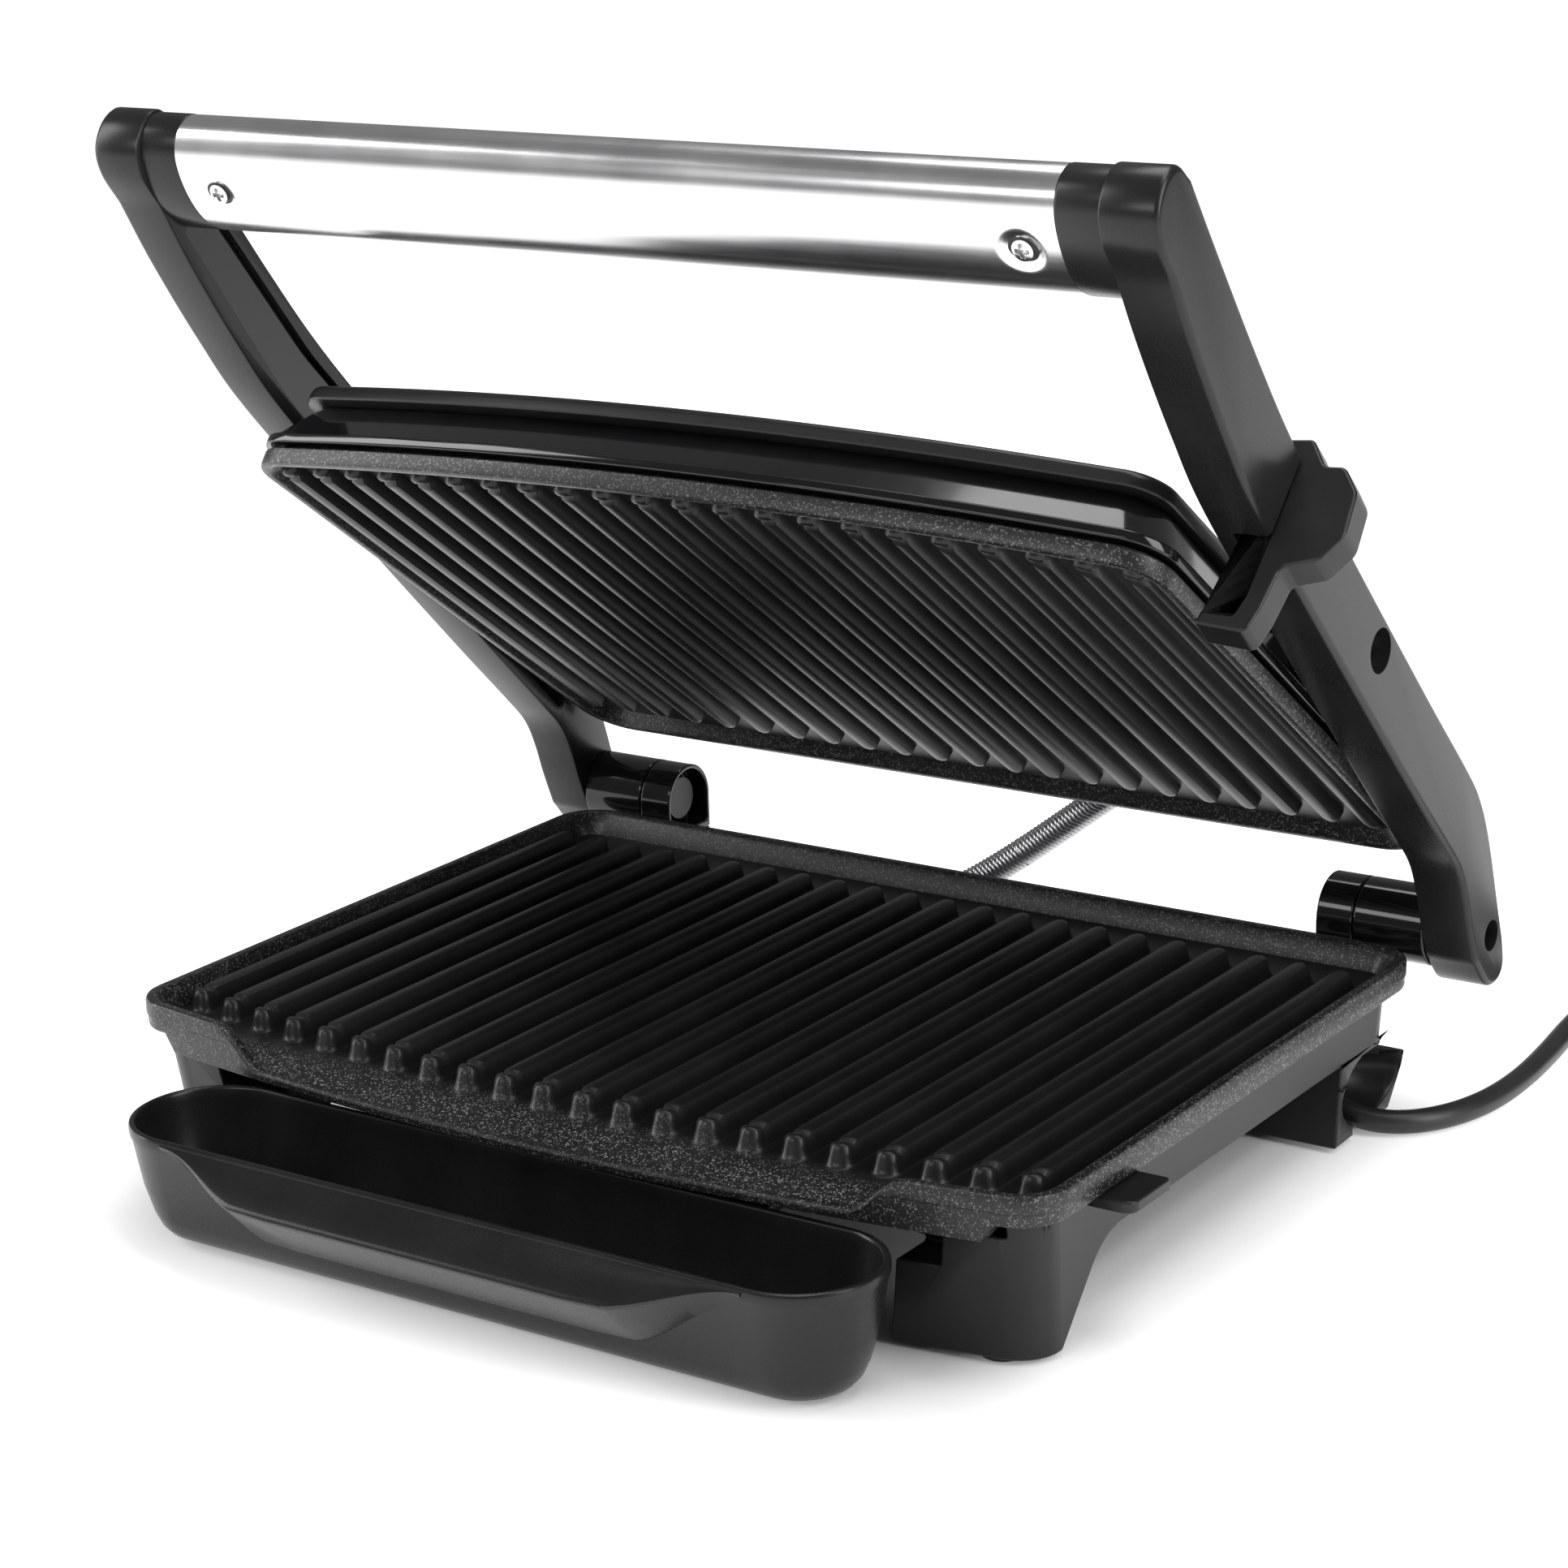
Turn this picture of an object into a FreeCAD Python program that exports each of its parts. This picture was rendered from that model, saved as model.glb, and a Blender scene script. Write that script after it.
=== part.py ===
import FreeCAD, Part
import math
import os
import Sketcher

V = FreeCAD.Vector

# Two-plate contact grill. Millimetres, +Z up, +X to the user's right, -Y towards the user.
# The origin is on the table, at the centre of the four feet.
# The arms and the lid are drawn with the grill shut, then turned about the hinge to stand open.

doc = FreeCAD.newDocument("PaniniPress")
sheet = doc.addObject("Spreadsheet::Sheet", "Dimensions")

dimensions = {
    # lower plate and base
    "plateWidth": 300.0, "plateBackY": 110.0, "plateFrontY": -118.0, "bowRadius": 856.0,
    "rimZ": 50.5, "rimSideDrop": 8.5, "rimFrontDrop": 13.5, "plateCorner": 14.0,
    "rimWall": 3.0, "floorDrop": 6.5, "floorThick": 4.5, "lipTopHalf": 112.0,
    "lipFootHalf": 97.0, "lipDrop": 11.0, "ribPitch": 13.06, "ribWidth": 6.6,
    "ribTopGap": 0.4, "ribBackInset": 23.5, "ribFrontInset": 15.0, "housingInset": 4.5,
    "housingDraft": 3.0, "housingWall": 3.0, "legBottomZ": 1.5, "tubUnderZ": 27.0,
    "housingTopZ": 42.0, "housingBackY": 103.0, "legInner": 101.0, "frontLegBackY": -88.8,
    "rearLegFrontY": 70.0, "rearLegInner": 98.0,
    # hinge and arms
    "hingeY": 122.0, "hingeZ": 54.0, "openAngle": 44.0, "bossRadius": 11.6,
    "bossInnerX": 115.6, "seamX": 127.0, "armInnerX": 149.5, "armWidth": 16.0,
    "capInnerX": 137.0, "pinRadius": 4.0, "floatRadius": 3.0, "runningFit": 0.05,
    # lid
    "lidHalf": 146.5, "lidDepth": 213.5, "lidBackY": 101.1, "closedGap": 1.0,
    "floatAngle": 8.0, "floatY": -4.3, "floatZ": 73.5, "lidRimHeight": 5.0,
    "lidGapTop": 6.5, "flangeHeight": 3.0, "panelBottom": 22.0, "panelThick": 5.5,
    # tray
    "trayHalf": 118.5, "trayDepth": 45.5, "trayCentreY": -132.0, "trayRimZ": 34.5,
    "trayBottomZ": 1.5, "trayWall": 2.0,
    # latch and catch
    "latchFrontY": -80.0, "latchThick": 10.0, "latchPivotX": 162.5, "latchPivotZ": 73.0,
    "catchOuterX": 158.5,
    # cord and conduit
    "cordRadius": 3.5, "cordZ": 3.9, "conduitRadius": 4.75, "coilRadius": 38.5,
}
for row, (name, size) in enumerate(dimensions.items(), start=1):
    sheet.set("A%d" % row, name)
    sheet.set("B%d" % row, str(size))
    sheet.setAlias("B%d" % row, name)
doc.recompute()


def dim(name):
    return float(getattr(sheet, name))


def cell(name):
    return "Dimensions." + name


# --- placements ------------------------------------------------------------------------------

def turnAboutX(degrees, y, z):
    """A turn about a line parallel to X through (y, z)."""
    return FreeCAD.Placement(V(0, 0, 0), FreeCAD.Rotation(V(1, 0, 0), degrees), V(0, y, z))


basePose = FreeCAD.Placement()
armPose = turnAboutX(-dim("openAngle"), dim("hingeY"), dim("hingeZ"))
lidPose = armPose.multiply(turnAboutX(dim("floatAngle"), dim("floatY"), dim("floatZ")))

subParts = []


def keep(piece, label, pose=basePose):
    """Name a finished sub-part and stand it in its pose."""
    piece.Label = label
    piece.Placement = pose.multiply(piece.Placement)
    subParts.append(piece)
    return piece


# --- sketch and feature helpers --------------------------------------------------------------

def newBody(name):
    return doc.addObject("PartDesign::Body", name + "Body")


def sketchOn(body, role, offset=0.0):
    """A sketch on one of the body's own origin planes, moved along that plane's normal."""
    plane = [f for f in body.Origin.OriginFeatures if f.Role == role][0]
    sketch = body.newObject("Sketcher::SketchObject", body.Name + "Sketch")
    sketch.AttachmentSupport = (plane, [""])
    sketch.MapMode = "FlatFace"
    sketch.AttachmentOffset = FreeCAD.Placement(V(0, 0, offset), FreeCAD.Rotation())
    return sketch


def drawCurves(sketch, curves):
    sketch.addGeometry(curves, False)
    return sketch


def polyline(points):
    """Closed straight-sided outline."""
    ends = points[1:] + points[:1]
    return [Part.LineSegment(V(*a, 0), V(*b, 0)) for a, b in zip(points, ends)]


def roundedOutline(points, radii):
    """Closed outline of straight sides with a tangent arc at each corner."""
    count = len(points)
    curves = []
    starts = []
    stops = []
    for i, corner in enumerate(points):
        here = V(*corner, 0)
        back = (V(*points[i - 1], 0) - here).normalize()
        ahead = (V(*points[(i + 1) % count], 0) - here).normalize()
        half = back.getAngle(ahead) / 2
        reach = radii[i] / math.tan(half)
        starts.append(here + back * reach)
        stops.append(here + ahead * reach)
        middle = here + (back + ahead).normalize() * (radii[i] / math.sin(half) - radii[i])
        curves.append(Part.Arc(starts[-1], middle, stops[-1]))
    for i in range(count):
        curves.append(Part.LineSegment(stops[i], starts[(i + 1) % count]))
    return curves


def bowedOutline(half, backY, frontY, corner):
    """Plate outline: straight back and sides, front bowed outwards, rounded corners."""
    radius = dim("bowRadius")
    drop = radius - math.sqrt(radius ** 2 - (half - corner) ** 2)
    sideY = frontY + drop + corner
    frontLeft = V(-half + corner, frontY + drop, 0)
    frontRight = V(half - corner, frontY + drop, 0)
    slant = corner * (1 - math.cos(math.radians(45)))

    def cornerArc(start, bend, end):
        return Part.Arc(start, bend, end)

    return [
        Part.Arc(frontLeft, V(0, frontY, 0), frontRight),
        cornerArc(frontRight, V(half - slant, frontY + drop + slant, 0), V(half, sideY, 0)),
        Part.LineSegment(V(half, sideY, 0), V(half, backY - corner, 0)),
        cornerArc(V(half, backY - corner, 0), V(half - slant, backY - slant, 0),
                  V(half - corner, backY, 0)),
        Part.LineSegment(V(half - corner, backY, 0), V(-half + corner, backY, 0)),
        cornerArc(V(-half + corner, backY, 0), V(-half + slant, backY - slant, 0),
                  V(-half, backY - corner, 0)),
        Part.LineSegment(V(-half, backY - corner, 0), V(-half, sideY, 0)),
        cornerArc(V(-half, sideY, 0), V(-half + slant, frontY + drop + slant, 0), frontLeft),
    ]


def splineThrough(points):
    curve = Part.BSplineCurve()
    curve.interpolate([V(*p, 0) for p in points])
    return curve


def pad(body, sketch, length, reverse=False, taper=0.0):
    """Pad a sketch; length is a cell expression."""
    feature = body.newObject("PartDesign::Pad", body.Name + "Pad")
    feature.Profile = sketch
    feature.setExpression("Length", length)
    feature.Reversed = reverse
    feature.TaperAngle = taper
    doc.recompute()
    return feature


def pocket(body, sketch, length, reverse=False, taper=0.0):
    """Pocket a sketch and make sure that it takes material away."""
    before = body.Shape.Volume
    feature = body.newObject("PartDesign::Pocket", body.Name + "Pocket")
    feature.Profile = sketch
    feature.setExpression("Length", length)
    feature.Reversed = reverse
    feature.TaperAngle = taper
    doc.recompute()
    if body.Shape.Volume >= before - 1e-6:
        raise RuntimeError(body.Name + ": the pocket removed nothing")
    return feature


def leaning(body, levels, cutting=False):
    """Straight-sided loft between outlines at different heights; cutting takes it away."""
    kind = "SubtractiveLoft" if cutting else "AdditiveLoft"
    before = body.Shape.Volume if cutting else 0.0
    feature = body.newObject("PartDesign::" + kind, body.Name + "Loft")
    sketches = [drawCurves(sketchOn(body, "XY_Plane", z), curves) for z, curves in levels]
    feature.Profile = sketches[0]
    feature.Sections = [(sketch, [""]) for sketch in sketches[1:]]
    feature.Ruled = True
    doc.recompute()
    if cutting and body.Shape.Volume >= before - 1e-6:
        raise RuntimeError(body.Name + ": the cut removed nothing")
    return feature


def primitive(kind, name, place=(0, 0, 0), rotation=None, **sizes):
    """A Part primitive whose sizes are expressions."""
    piece = doc.addObject("Part::" + kind, name)
    for key, expression in sizes.items():
        piece.setExpression(key, str(expression))
    piece.Placement = FreeCAD.Placement(V(*place), rotation or FreeCAD.Rotation())
    return piece


def fuse(name, pieces):
    piece = doc.addObject("Part::MultiFuse", name)
    piece.Shapes = pieces
    doc.recompute()
    return piece


def cut(name, base, tool):
    piece = doc.addObject("Part::Cut", name)
    piece.Base = base
    piece.Tool = tool
    doc.recompute()
    return piece


def solidFeature(name, shape):
    piece = doc.addObject("Part::Feature", name)
    piece.Shape = shape
    return piece


alongX = FreeCAD.Rotation(V(0, 1, 0), 90)
alongY = FreeCAD.Rotation(V(1, 0, 0), -90)


# --- lower plate -----------------------------------------------------------------------------

def ribOutlines(backY, frontY):
    """Round-ended bars, front to back, whose front ends follow the bow of the plate."""
    halfWidth = dim("ribWidth") / 2
    curves = []
    for i in range(22):
        x = (i - 10.5) * dim("ribPitch")
        front = frontY + x * x / (2 * dim("bowRadius")) + halfWidth
        back = backY - halfWidth
        curves += [
            Part.LineSegment(V(x + halfWidth, front, 0), V(x + halfWidth, back, 0)),
            Part.Arc(V(x + halfWidth, back, 0), V(x, back + halfWidth, 0), V(x - halfWidth, back, 0)),
            Part.LineSegment(V(x - halfWidth, back, 0), V(x - halfWidth, front, 0)),
            Part.Arc(V(x - halfWidth, front, 0), V(x, front - halfWidth, 0), V(x + halfWidth, front, 0)),
        ]
    return curves


def lowerGrillPlate():
    half = dim("plateWidth") / 2
    backY, frontY = dim("plateBackY"), dim("plateFrontY")
    rim = dim("rimZ")
    body = newBody("LowerPlate")
    outline = drawCurves(sketchOn(body, "XY_Plane", rim),
                         bowedOutline(half, backY, frontY, dim("plateCorner")))
    pad(body, outline, cell("rimSideDrop"), reverse=True)
    # front skirt, deeper than the sides
    skirt = drawCurves(sketchOn(body, "XY_Plane", rim), frontBand(half - 14.0, frontY, 7.0))
    pad(body, skirt, cell("rimFrontDrop"), reverse=True)
    # thickened underside that holds the heater
    under = drawCurves(sketchOn(body, "XY_Plane", rim - dim("rimSideDrop")),
                       bowedOutline(half - 14.0, backY - 14.0, frontY + 3.0, 10.0))
    pad(body, under, cell("rimSideDrop") + " - 5.9", reverse=True)
    # cooking well with sloped inner walls
    wall, drop, slope = dim("rimWall"), dim("floorDrop"), 5.0
    corner = dim("plateCorner") - wall
    leaning(body, [
        (rim + 0.5, bowedOutline(half - wall, backY - wall, frontY + wall, corner)),
        (rim - drop, bowedOutline(half - wall - slope, backY - wall - 2 * slope,
                                  frontY + wall + slope, corner - 3.0))], cutting=True)
    # pouring lip: the front wall falls away and the floor runs out over it
    before = body.Shape.Volume
    lip = body.newObject("PartDesign::SubtractiveLoft", "LowerPlateLip")
    lip.Profile = lipSection(body, frontY - 3.0, rim - dim("lipDrop"))
    lip.Sections = [(lipSection(body, frontY + 20.0, rim - dim("floorDrop") + 0.05), [""])]
    lip.Ruled = True
    doc.recompute()
    if not 0 < body.Shape.Volume < before:
        raise RuntimeError("the pouring lip was not cut")
    ribs = drawCurves(sketchOn(body, "XY_Plane", rim - dim("floorDrop") - 1.5),
                      ribOutlines(backY - dim("ribBackInset"), frontY + dim("ribFrontInset")))
    pad(body, ribs, "%s - %s + 1.5" % (cell("floorDrop"), cell("ribTopGap")))
    return keep(body, "lower_grill_plate")


def frontBand(half, frontY, depth):
    """Band just behind the bowed front."""
    radius = dim("bowRadius")
    drop = half ** 2 / (2 * radius)
    return [
        Part.Arc(V(-half, frontY + drop, 0), V(0, frontY, 0), V(half, frontY + drop, 0)),
        Part.LineSegment(V(half, frontY + drop, 0), V(half, frontY + drop + depth, 0)),
        Part.Arc(V(half, frontY + drop + depth, 0), V(0, frontY + depth, 0),
                 V(-half, frontY + drop + depth, 0)),
        Part.LineSegment(V(-half, frontY + drop + depth, 0), V(-half, frontY + drop, 0)),
    ]


def lipSection(body, y, bottomZ):
    """Opening across the front wall: flat foot, S-shaped sides that widen to the rim."""
    section = sketchOn(body, "XZ_Plane", -y)
    top, foot, rim = dim("lipTopHalf"), dim("lipFootHalf"), dim("rimZ")
    middle = (top + foot) / 2
    level = (rim + bottomZ) / 2

    def sideCurve(side):
        curve = Part.BSplineCurve()
        points = [V(side * foot, bottomZ, 0), V(side * middle, level, 0), V(side * top, rim, 0)]
        curve.interpolate(points, InitialTangent=V(side * 12, 0, 0), FinalTangent=V(side * 12, 0, 0))
        return curve

    drawCurves(section, [
        Part.LineSegment(V(-foot, bottomZ, 0), V(foot, bottomZ, 0)),
        sideCurve(1),
        Part.LineSegment(V(top, rim, 0), V(top, rim + 2, 0)),
        Part.LineSegment(V(top, rim + 2, 0), V(-top, rim + 2, 0)),
        Part.LineSegment(V(-top, rim + 2, 0), V(-top, rim, 0)),
        sideCurve(-1),
    ])
    return section


# --- base ------------------------------------------------------------------------------------

def baseHousing():
    half = dim("plateWidth") / 2 - dim("housingInset")
    backY, frontY = dim("housingBackY"), dim("plateFrontY") + 5.0
    top, wall, draft = dim("housingTopZ"), dim("housingWall"), dim("housingDraft")
    under = dim("tubUnderZ")
    body = newBody("Housing")
    leaning(body, [
        (top, bowedOutline(half, backY, frontY, 12.0)),
        (dim("legBottomZ"), bowedOutline(half - draft, backY - 1.0, frontY + 2 * draft, 12.0))])
    # shallow shelf over the tray, full depth behind it
    shelf = drawCurves(sketchOn(body, "XY_Plane", top),
                       bowedOutline(half - wall, backY - wall, frontY + wall, 9.0))
    pocket(body, shelf, "3.8")
    inside = drawCurves(sketchOn(body, "XY_Plane", top), roundedOutline(
        [(-half + 6.0, -87.0), (half - 6.0, -87.0), (half - 6.0, backY - 4.0),
         (-half + 6.0, backY - 4.0)], [6.0] * 4))
    pocket(body, inside, "%s - %s - %s" % (cell("housingTopZ"), cell("tubUnderZ"), cell("housingWall")))
    notch = drawCurves(sketchOn(body, "XY_Plane", top + 0.5), frontBand(half - 9.1, frontY - 2.0, 9.4))
    pocket(body, notch, "5.7")
    # open space under the tub: arched sides behind the front legs
    arch = drawCurves(sketchOn(body, "YZ_Plane", -200.0), roundedOutline(
        [(dim("frontLegBackY"), -5.0), (backY + 20.0, -5.0), (backY + 20.0, under),
         (dim("frontLegBackY") + 22.8, under)], [0.5, 0.5, 0.5, 17.0]))
    pocket(body, arch, "400", reverse=True)
    gap = dim("legInner")
    tunnel = drawCurves(sketchOn(body, "XZ_Plane", 200.0), polyline(
        [(-gap, -5.0), (gap, -5.0), (gap + 5.0, under), (-gap - 5.0, under)]))
    pocket(body, tunnel, "148")
    # recess that takes the tray's back edge
    reach = dim("trayHalf") - 0.5
    recess = drawCurves(sketchOn(body, "XZ_Plane", 200.0), polyline(
        [(-reach, under - 1.0), (reach, under - 1.0),
         (reach + 1.5, under + 9.0), (-reach - 1.5, under + 9.0)]))
    pocket(body, recess, "200 - 90")
    addRearLegs(body)
    addLegHollows(body)
    addHingeTowers(body)
    addScrewColumns(body)
    conduitHole = drawCurves(sketchOn(body, "XZ_Plane", -backY - 5.0), [
        Part.Circle(V(conduitRoute[0].x, conduitRoute[0].z, 0), V(0, 0, 1), 5.6)])
    pocket(body, conduitHole, "12", reverse=True)
    return keep(cut("BaseHousing", body, cordScoops()), "base_housing")


def addRearLegs(body):
    """Rear legs that end in low ears; the cord is wound between leg and ear."""
    front, bottom, inner = dim("rearLegFrontY"), dim("legBottomZ"), dim("rearLegInner")
    for side in (-1, 1):
        def legOutline(outer, tip, back, y=front, mirror=side):
            return polyline([(mirror * inner, y), (mirror * outer, y), (mirror * tip, back),
                             (mirror * inner, back)][::mirror])
        leaning(body, [(20.0, legOutline(143.9, 145.6, 109.0)),
                       (bottom, legOutline(142.5, 141.5, 107.0))])
        leaning(body, [(28.0, legOutline(144.4, 144.4, 95.0)),
                       (19.0, legOutline(143.8, 143.8, 95.0))])


def cordScoops():
    """Hollows in the outer sides of the rear legs, and the hole that the cord comes through."""
    scoops = []
    for side in (-1, 1):
        scoop = primitive("Ellipsoid", "Scoop", (side * 152.0, 90.0, 15.2),
                          Radius1="11.8", Radius2="26", Radius3="18.5")
        scoop.Angle1 = -90
        scoop.Angle2 = 90
        scoops.append(scoop)
    run = cordRoute[1] - cordRoute[0]
    hole = primitive("Cylinder", "CordHole", cordRoute[0] - run * 1.2,
                     FreeCAD.Rotation(V(0, 0, 1), run), Radius="5.5", Height="45")
    return fuse("Scoops", scoops + [hole])


def addLegHollows(body):
    """The legs are hollow from above, so the moulding has an even wall."""
    top = dim("housingTopZ") - 3.7
    hollow = sketchOn(body, "XY_Plane", top)
    boxes = []
    for side in (-1, 1):
        boxes += boxOutline(side * 128.5, -89.8, 15.0, 7.5)
        boxes += boxOutline(side * 111.0, 79.0, 20.0, 12.0)
    drawCurves(hollow, boxes)
    pocket(body, hollow, "%s - 3.7 - 4.5" % cell("housingTopZ"))


def boxOutline(x, y, width, depth):
    return polyline([(x - width / 2, y - depth / 2), (x + width / 2, y - depth / 2),
                     (x + width / 2, y + depth / 2), (x - width / 2, y + depth / 2)])


def addHingeTowers(body):
    """Two posts behind the plate that carry the hinge brackets."""
    top = dim("housingTopZ")
    back = dim("hingeY") + dim("bossRadius")
    for side in (-1, 1):
        tower = drawCurves(sketchOn(body, "YZ_Plane", side * dim("bossInnerX")), polyline(
            [(99.0, 30.0), (112.0, 30.0), (back, top - 5.0), (back, top), (99.0, top)]))
        pad(body, tower, "%s - %s + 1" % (cell("seamX"), cell("bossInnerX")), reverse=side < 0)


screwSpots = [(x, y) for x in (-128.0, 128.0) for y in (-48.0, 52.0)]


def circlesAt(spots, radius):
    return [Part.Circle(V(x, y, 0), V(0, 0, 1), radius) for x, y in spots]


def addScrewColumns(body):
    """Columns on the tub floor that the plate rests on, drilled for its screws."""
    floor = dim("tubUnderZ") + dim("housingWall")
    columns = drawCurves(sketchOn(body, "XY_Plane", floor - 0.5), circlesAt(screwSpots, 5.0))
    pad(body, columns, "%s - %s - %s + 0.5 - 2.6" % (cell("housingTopZ"), cell("tubUnderZ"),
                                                   cell("housingWall")))
    holes = drawCurves(sketchOn(body, "XY_Plane", dim("housingTopZ")), circlesAt(screwSpots, 2.05))
    pocket(body, holes, "20")


def screwsAlongZ(name, headZ, headHeight, tipZ, spots=screwSpots):
    """Pan-head screws standing along Z; the head starts at headZ and faces away from the tip."""
    screws = []
    low, high = min(headZ, tipZ), max(headZ, tipZ)
    for i, (x, y) in enumerate(spots):
        screws.append(primitive("Cylinder", "%sShaft%d" % (name, i), (x, y, low), Radius="2",
                                Height=high - low))
        headStart = headZ if headZ > tipZ else headZ - headHeight
        screws.append(primitive("Cylinder", "%sHead%d" % (name, i), (x, y, headStart),
                                Radius="3.8", Height=headHeight))
    return fuse(name, screws)


def baseScrews():
    under = dim("tubUnderZ")
    return keep(screwsAlongZ("BaseScrews", under, 2.0, dim("rimZ") - 9.0), "base_screws")


def hingeBracket(side, label):
    """Round-topped hollow bracket standing on the post; the arm's collar meets it at a seam."""
    y, z, radius = dim("hingeY"), dim("hingeZ"), dim("bossRadius")
    body = newBody("Bracket" + label)
    inner, seam = dim("bossInnerX"), dim("seamX")
    sketch = sketchOn(body, "YZ_Plane", side * inner)
    foot = dim("housingTopZ")
    drawCurves(sketch, [
        Part.Arc(V(y + radius, z, 0), V(y, z + radius, 0), V(y - radius, z, 0)),
        Part.LineSegment(V(y - radius, z, 0), V(y - radius, foot, 0)),
        Part.LineSegment(V(y - radius, foot, 0), V(y + radius, foot, 0)),
        Part.LineSegment(V(y + radius, foot, 0), V(y + radius, z, 0)),
    ])
    pad(body, sketch, "%s - %s" % (cell("seamX"), cell("bossInnerX")), reverse=side < 0)
    mouth = sketchOn(body, "YZ_Plane", side * inner)
    bore = radius - 1.6
    drawCurves(mouth, [
        Part.Arc(V(y + bore, z, 0), V(y, z + bore, 0), V(y - bore, z, 0)),
        Part.LineSegment(V(y - bore, z, 0), V(y - bore, foot + 2.5, 0)),
        Part.LineSegment(V(y - bore, foot + 2.5, 0), V(y + bore, foot + 2.5, 0)),
        Part.LineSegment(V(y + bore, foot + 2.5, 0), V(y + bore, z, 0)),
    ])
    pocket(body, mouth, "%s - %s - 3" % (cell("seamX"), cell("bossInnerX")), reverse=side > 0)
    hole = sketchOn(body, "YZ_Plane", side * seam)
    drawCurves(hole, [Part.Circle(V(y, z, 0), V(0, 0, 1), dim("pinRadius") + dim("runningFit"))])
    pocket(body, hole, "4", reverse=side < 0)
    return keep(body, label)


def hingePin(side, label):
    """Steel pin from inside the bracket out through the collar and the arm."""
    reach = dim("armInnerX") + 8.0
    start = dim("seamX") - 6.0
    x = start if side > 0 else -reach
    y, z = dim("hingeY"), dim("hingeZ")
    shaft = primitive("Cylinder", "Shaft" + label, (x, y, z), alongX,
                      Radius=cell("pinRadius"), Height="%s + 14 - %s" % (cell("armInnerX"), cell("seamX")))
    headX = start - 2.0 if side > 0 else -start
    head = primitive("Cylinder", "Head" + label, (headX, y, z), alongX,
                     Radius=cell("pinRadius") + " * 1.7", Height="2")
    return keep(fuse("Pin" + label, [shaft, head]), label, armPose)


def latchCatch():
    """Shelf on the right side of the base that the latch hooks under."""
    outer, z = dim("catchOuterX"), dim("rimZ") - dim("rimSideDrop") - 0.1
    inner = dim("plateWidth") / 2 - dim("housingInset") - 0.3
    body = newBody("Catch")
    shelf = drawCurves(sketchOn(body, "XY_Plane", z), roundedOutline(
        [(inner, -77.0), (outer, -77.0), (outer, -57.0), (inner, -57.0)], [0.5, 3.5, 1.5, 0.5]))
    pad(body, shelf, "3.4", reverse=True)
    return keep(body, "latch_catch")


def rubberFeet():
    """Four round pads; the origin is at their centre."""
    spots = [(x, y) for x in (-128.5, 128.5) for y in (-90.0, 90.0)]
    feet = [primitive("Cylinder", "Foot%d" % i, (x - math.copysign(18.0, x) * (y > 0), y, 0),
                      Radius="6", Height=cell("legBottomZ")) for i, (x, y) in enumerate(spots)]
    return keep(fuse("Feet", feet), "rubber_feet")


def heaterLoop(name, z, backY, frontY, half):
    """Sealed tubular heater: a rounded U of 6.5 mm tube, both ends at the back."""
    radius, corner = 3.25, 28.0
    turn = corner * (1 - math.cos(math.radians(45)))
    points = [V(-24, backY, z), V(-half + corner, backY, z)]
    edges = [
        Part.LineSegment(points[0], points[1]),
        Part.Arc(points[1], V(-half + turn, backY - turn, z), V(-half, backY - corner, z)),
        Part.LineSegment(V(-half, backY - corner, z), V(-half, frontY + corner, z)),
        Part.Arc(V(-half, frontY + corner, z), V(-half + turn, frontY + turn, z),
                 V(-half + corner, frontY, z)),
        Part.LineSegment(V(-half + corner, frontY, z), V(half - corner, frontY, z)),
        Part.Arc(V(half - corner, frontY, z), V(half - turn, frontY + turn, z),
                 V(half, frontY + corner, z)),
        Part.LineSegment(V(half, frontY + corner, z), V(half, backY - corner, z)),
        Part.Arc(V(half, backY - corner, z), V(half - turn, backY - turn, z),
                 V(half - corner, backY, z)),
        Part.LineSegment(V(half - corner, backY, z), V(24, backY, z)),
    ]
    path = Part.Wire([e.toShape() for e in edges])
    ring = Part.Wire([Part.Circle(points[0], V(1, 0, 0), radius).toShape()])
    return solidFeature(name, path.makePipeShell([ring], True, True))


def heatShield(name, z, half, backY, frontY, up):
    """Shallow pan of thin steel, open towards the plate, that throws the heat back at it."""
    body = newBody(name)
    sheetThick = 0.8
    pan = drawCurves(sketchOn(body, "XY_Plane", z), roundedOutline(
        [(-half, frontY), (half, frontY), (half, backY), (-half, backY)], [14.0] * 4))
    pad(body, pan, "4", reverse=not up)
    floor = z + sheetThick if up else z - sheetThick
    inside = drawCurves(sketchOn(body, "XY_Plane", floor), roundedOutline(
        [(-half + sheetThick, frontY + sheetThick), (half - sheetThick, frontY + sheetThick),
         (half - sheetThick, backY - sheetThick), (-half + sheetThick, backY - sheetThick)],
        [14.0 - sheetThick] * 4))
    pocket(body, inside, "4", reverse=up)
    return body


# --- arms and handle (drawn shut) -------------------------------------------------------------

# side view of an arm: the lower edge from hinge to handle, and the upper edge back again
armLower = [(119.0, 43.3), (108.0, 48.2), (98.0, 53.2), (88.0, 56.6), (74.0, 57.2), (40.0, 57.4),
            (-30.0, 58.6), (-88.0, 60.4), (-116.0, 64.3), (-145.0, 70.3), (-166.0, 76.0)]
armNose = [(-166.0, 76.0), (-176.5, 77.8), (-183.0, 82.2), (-185.2, 90.0), (-182.5, 96.6),
           (-175.0, 98.2)]
armUpper = [(-175.0, 98.2), (-155.0, 94.6), (-118.0, 88.6), (-85.0, 84.7), (-40.0, 82.8),
            (30.0, 81.0), (72.0, 80.4), (86.0, 78.9), (100.0, 74.0), (121.0, 63.2), (131.0, 58.0)]
armTail = [(131.0, 58.0), (137.2, 53.0), (137.4, 47.0), (131.5, 42.6), (119.0, 43.3)]


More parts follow.
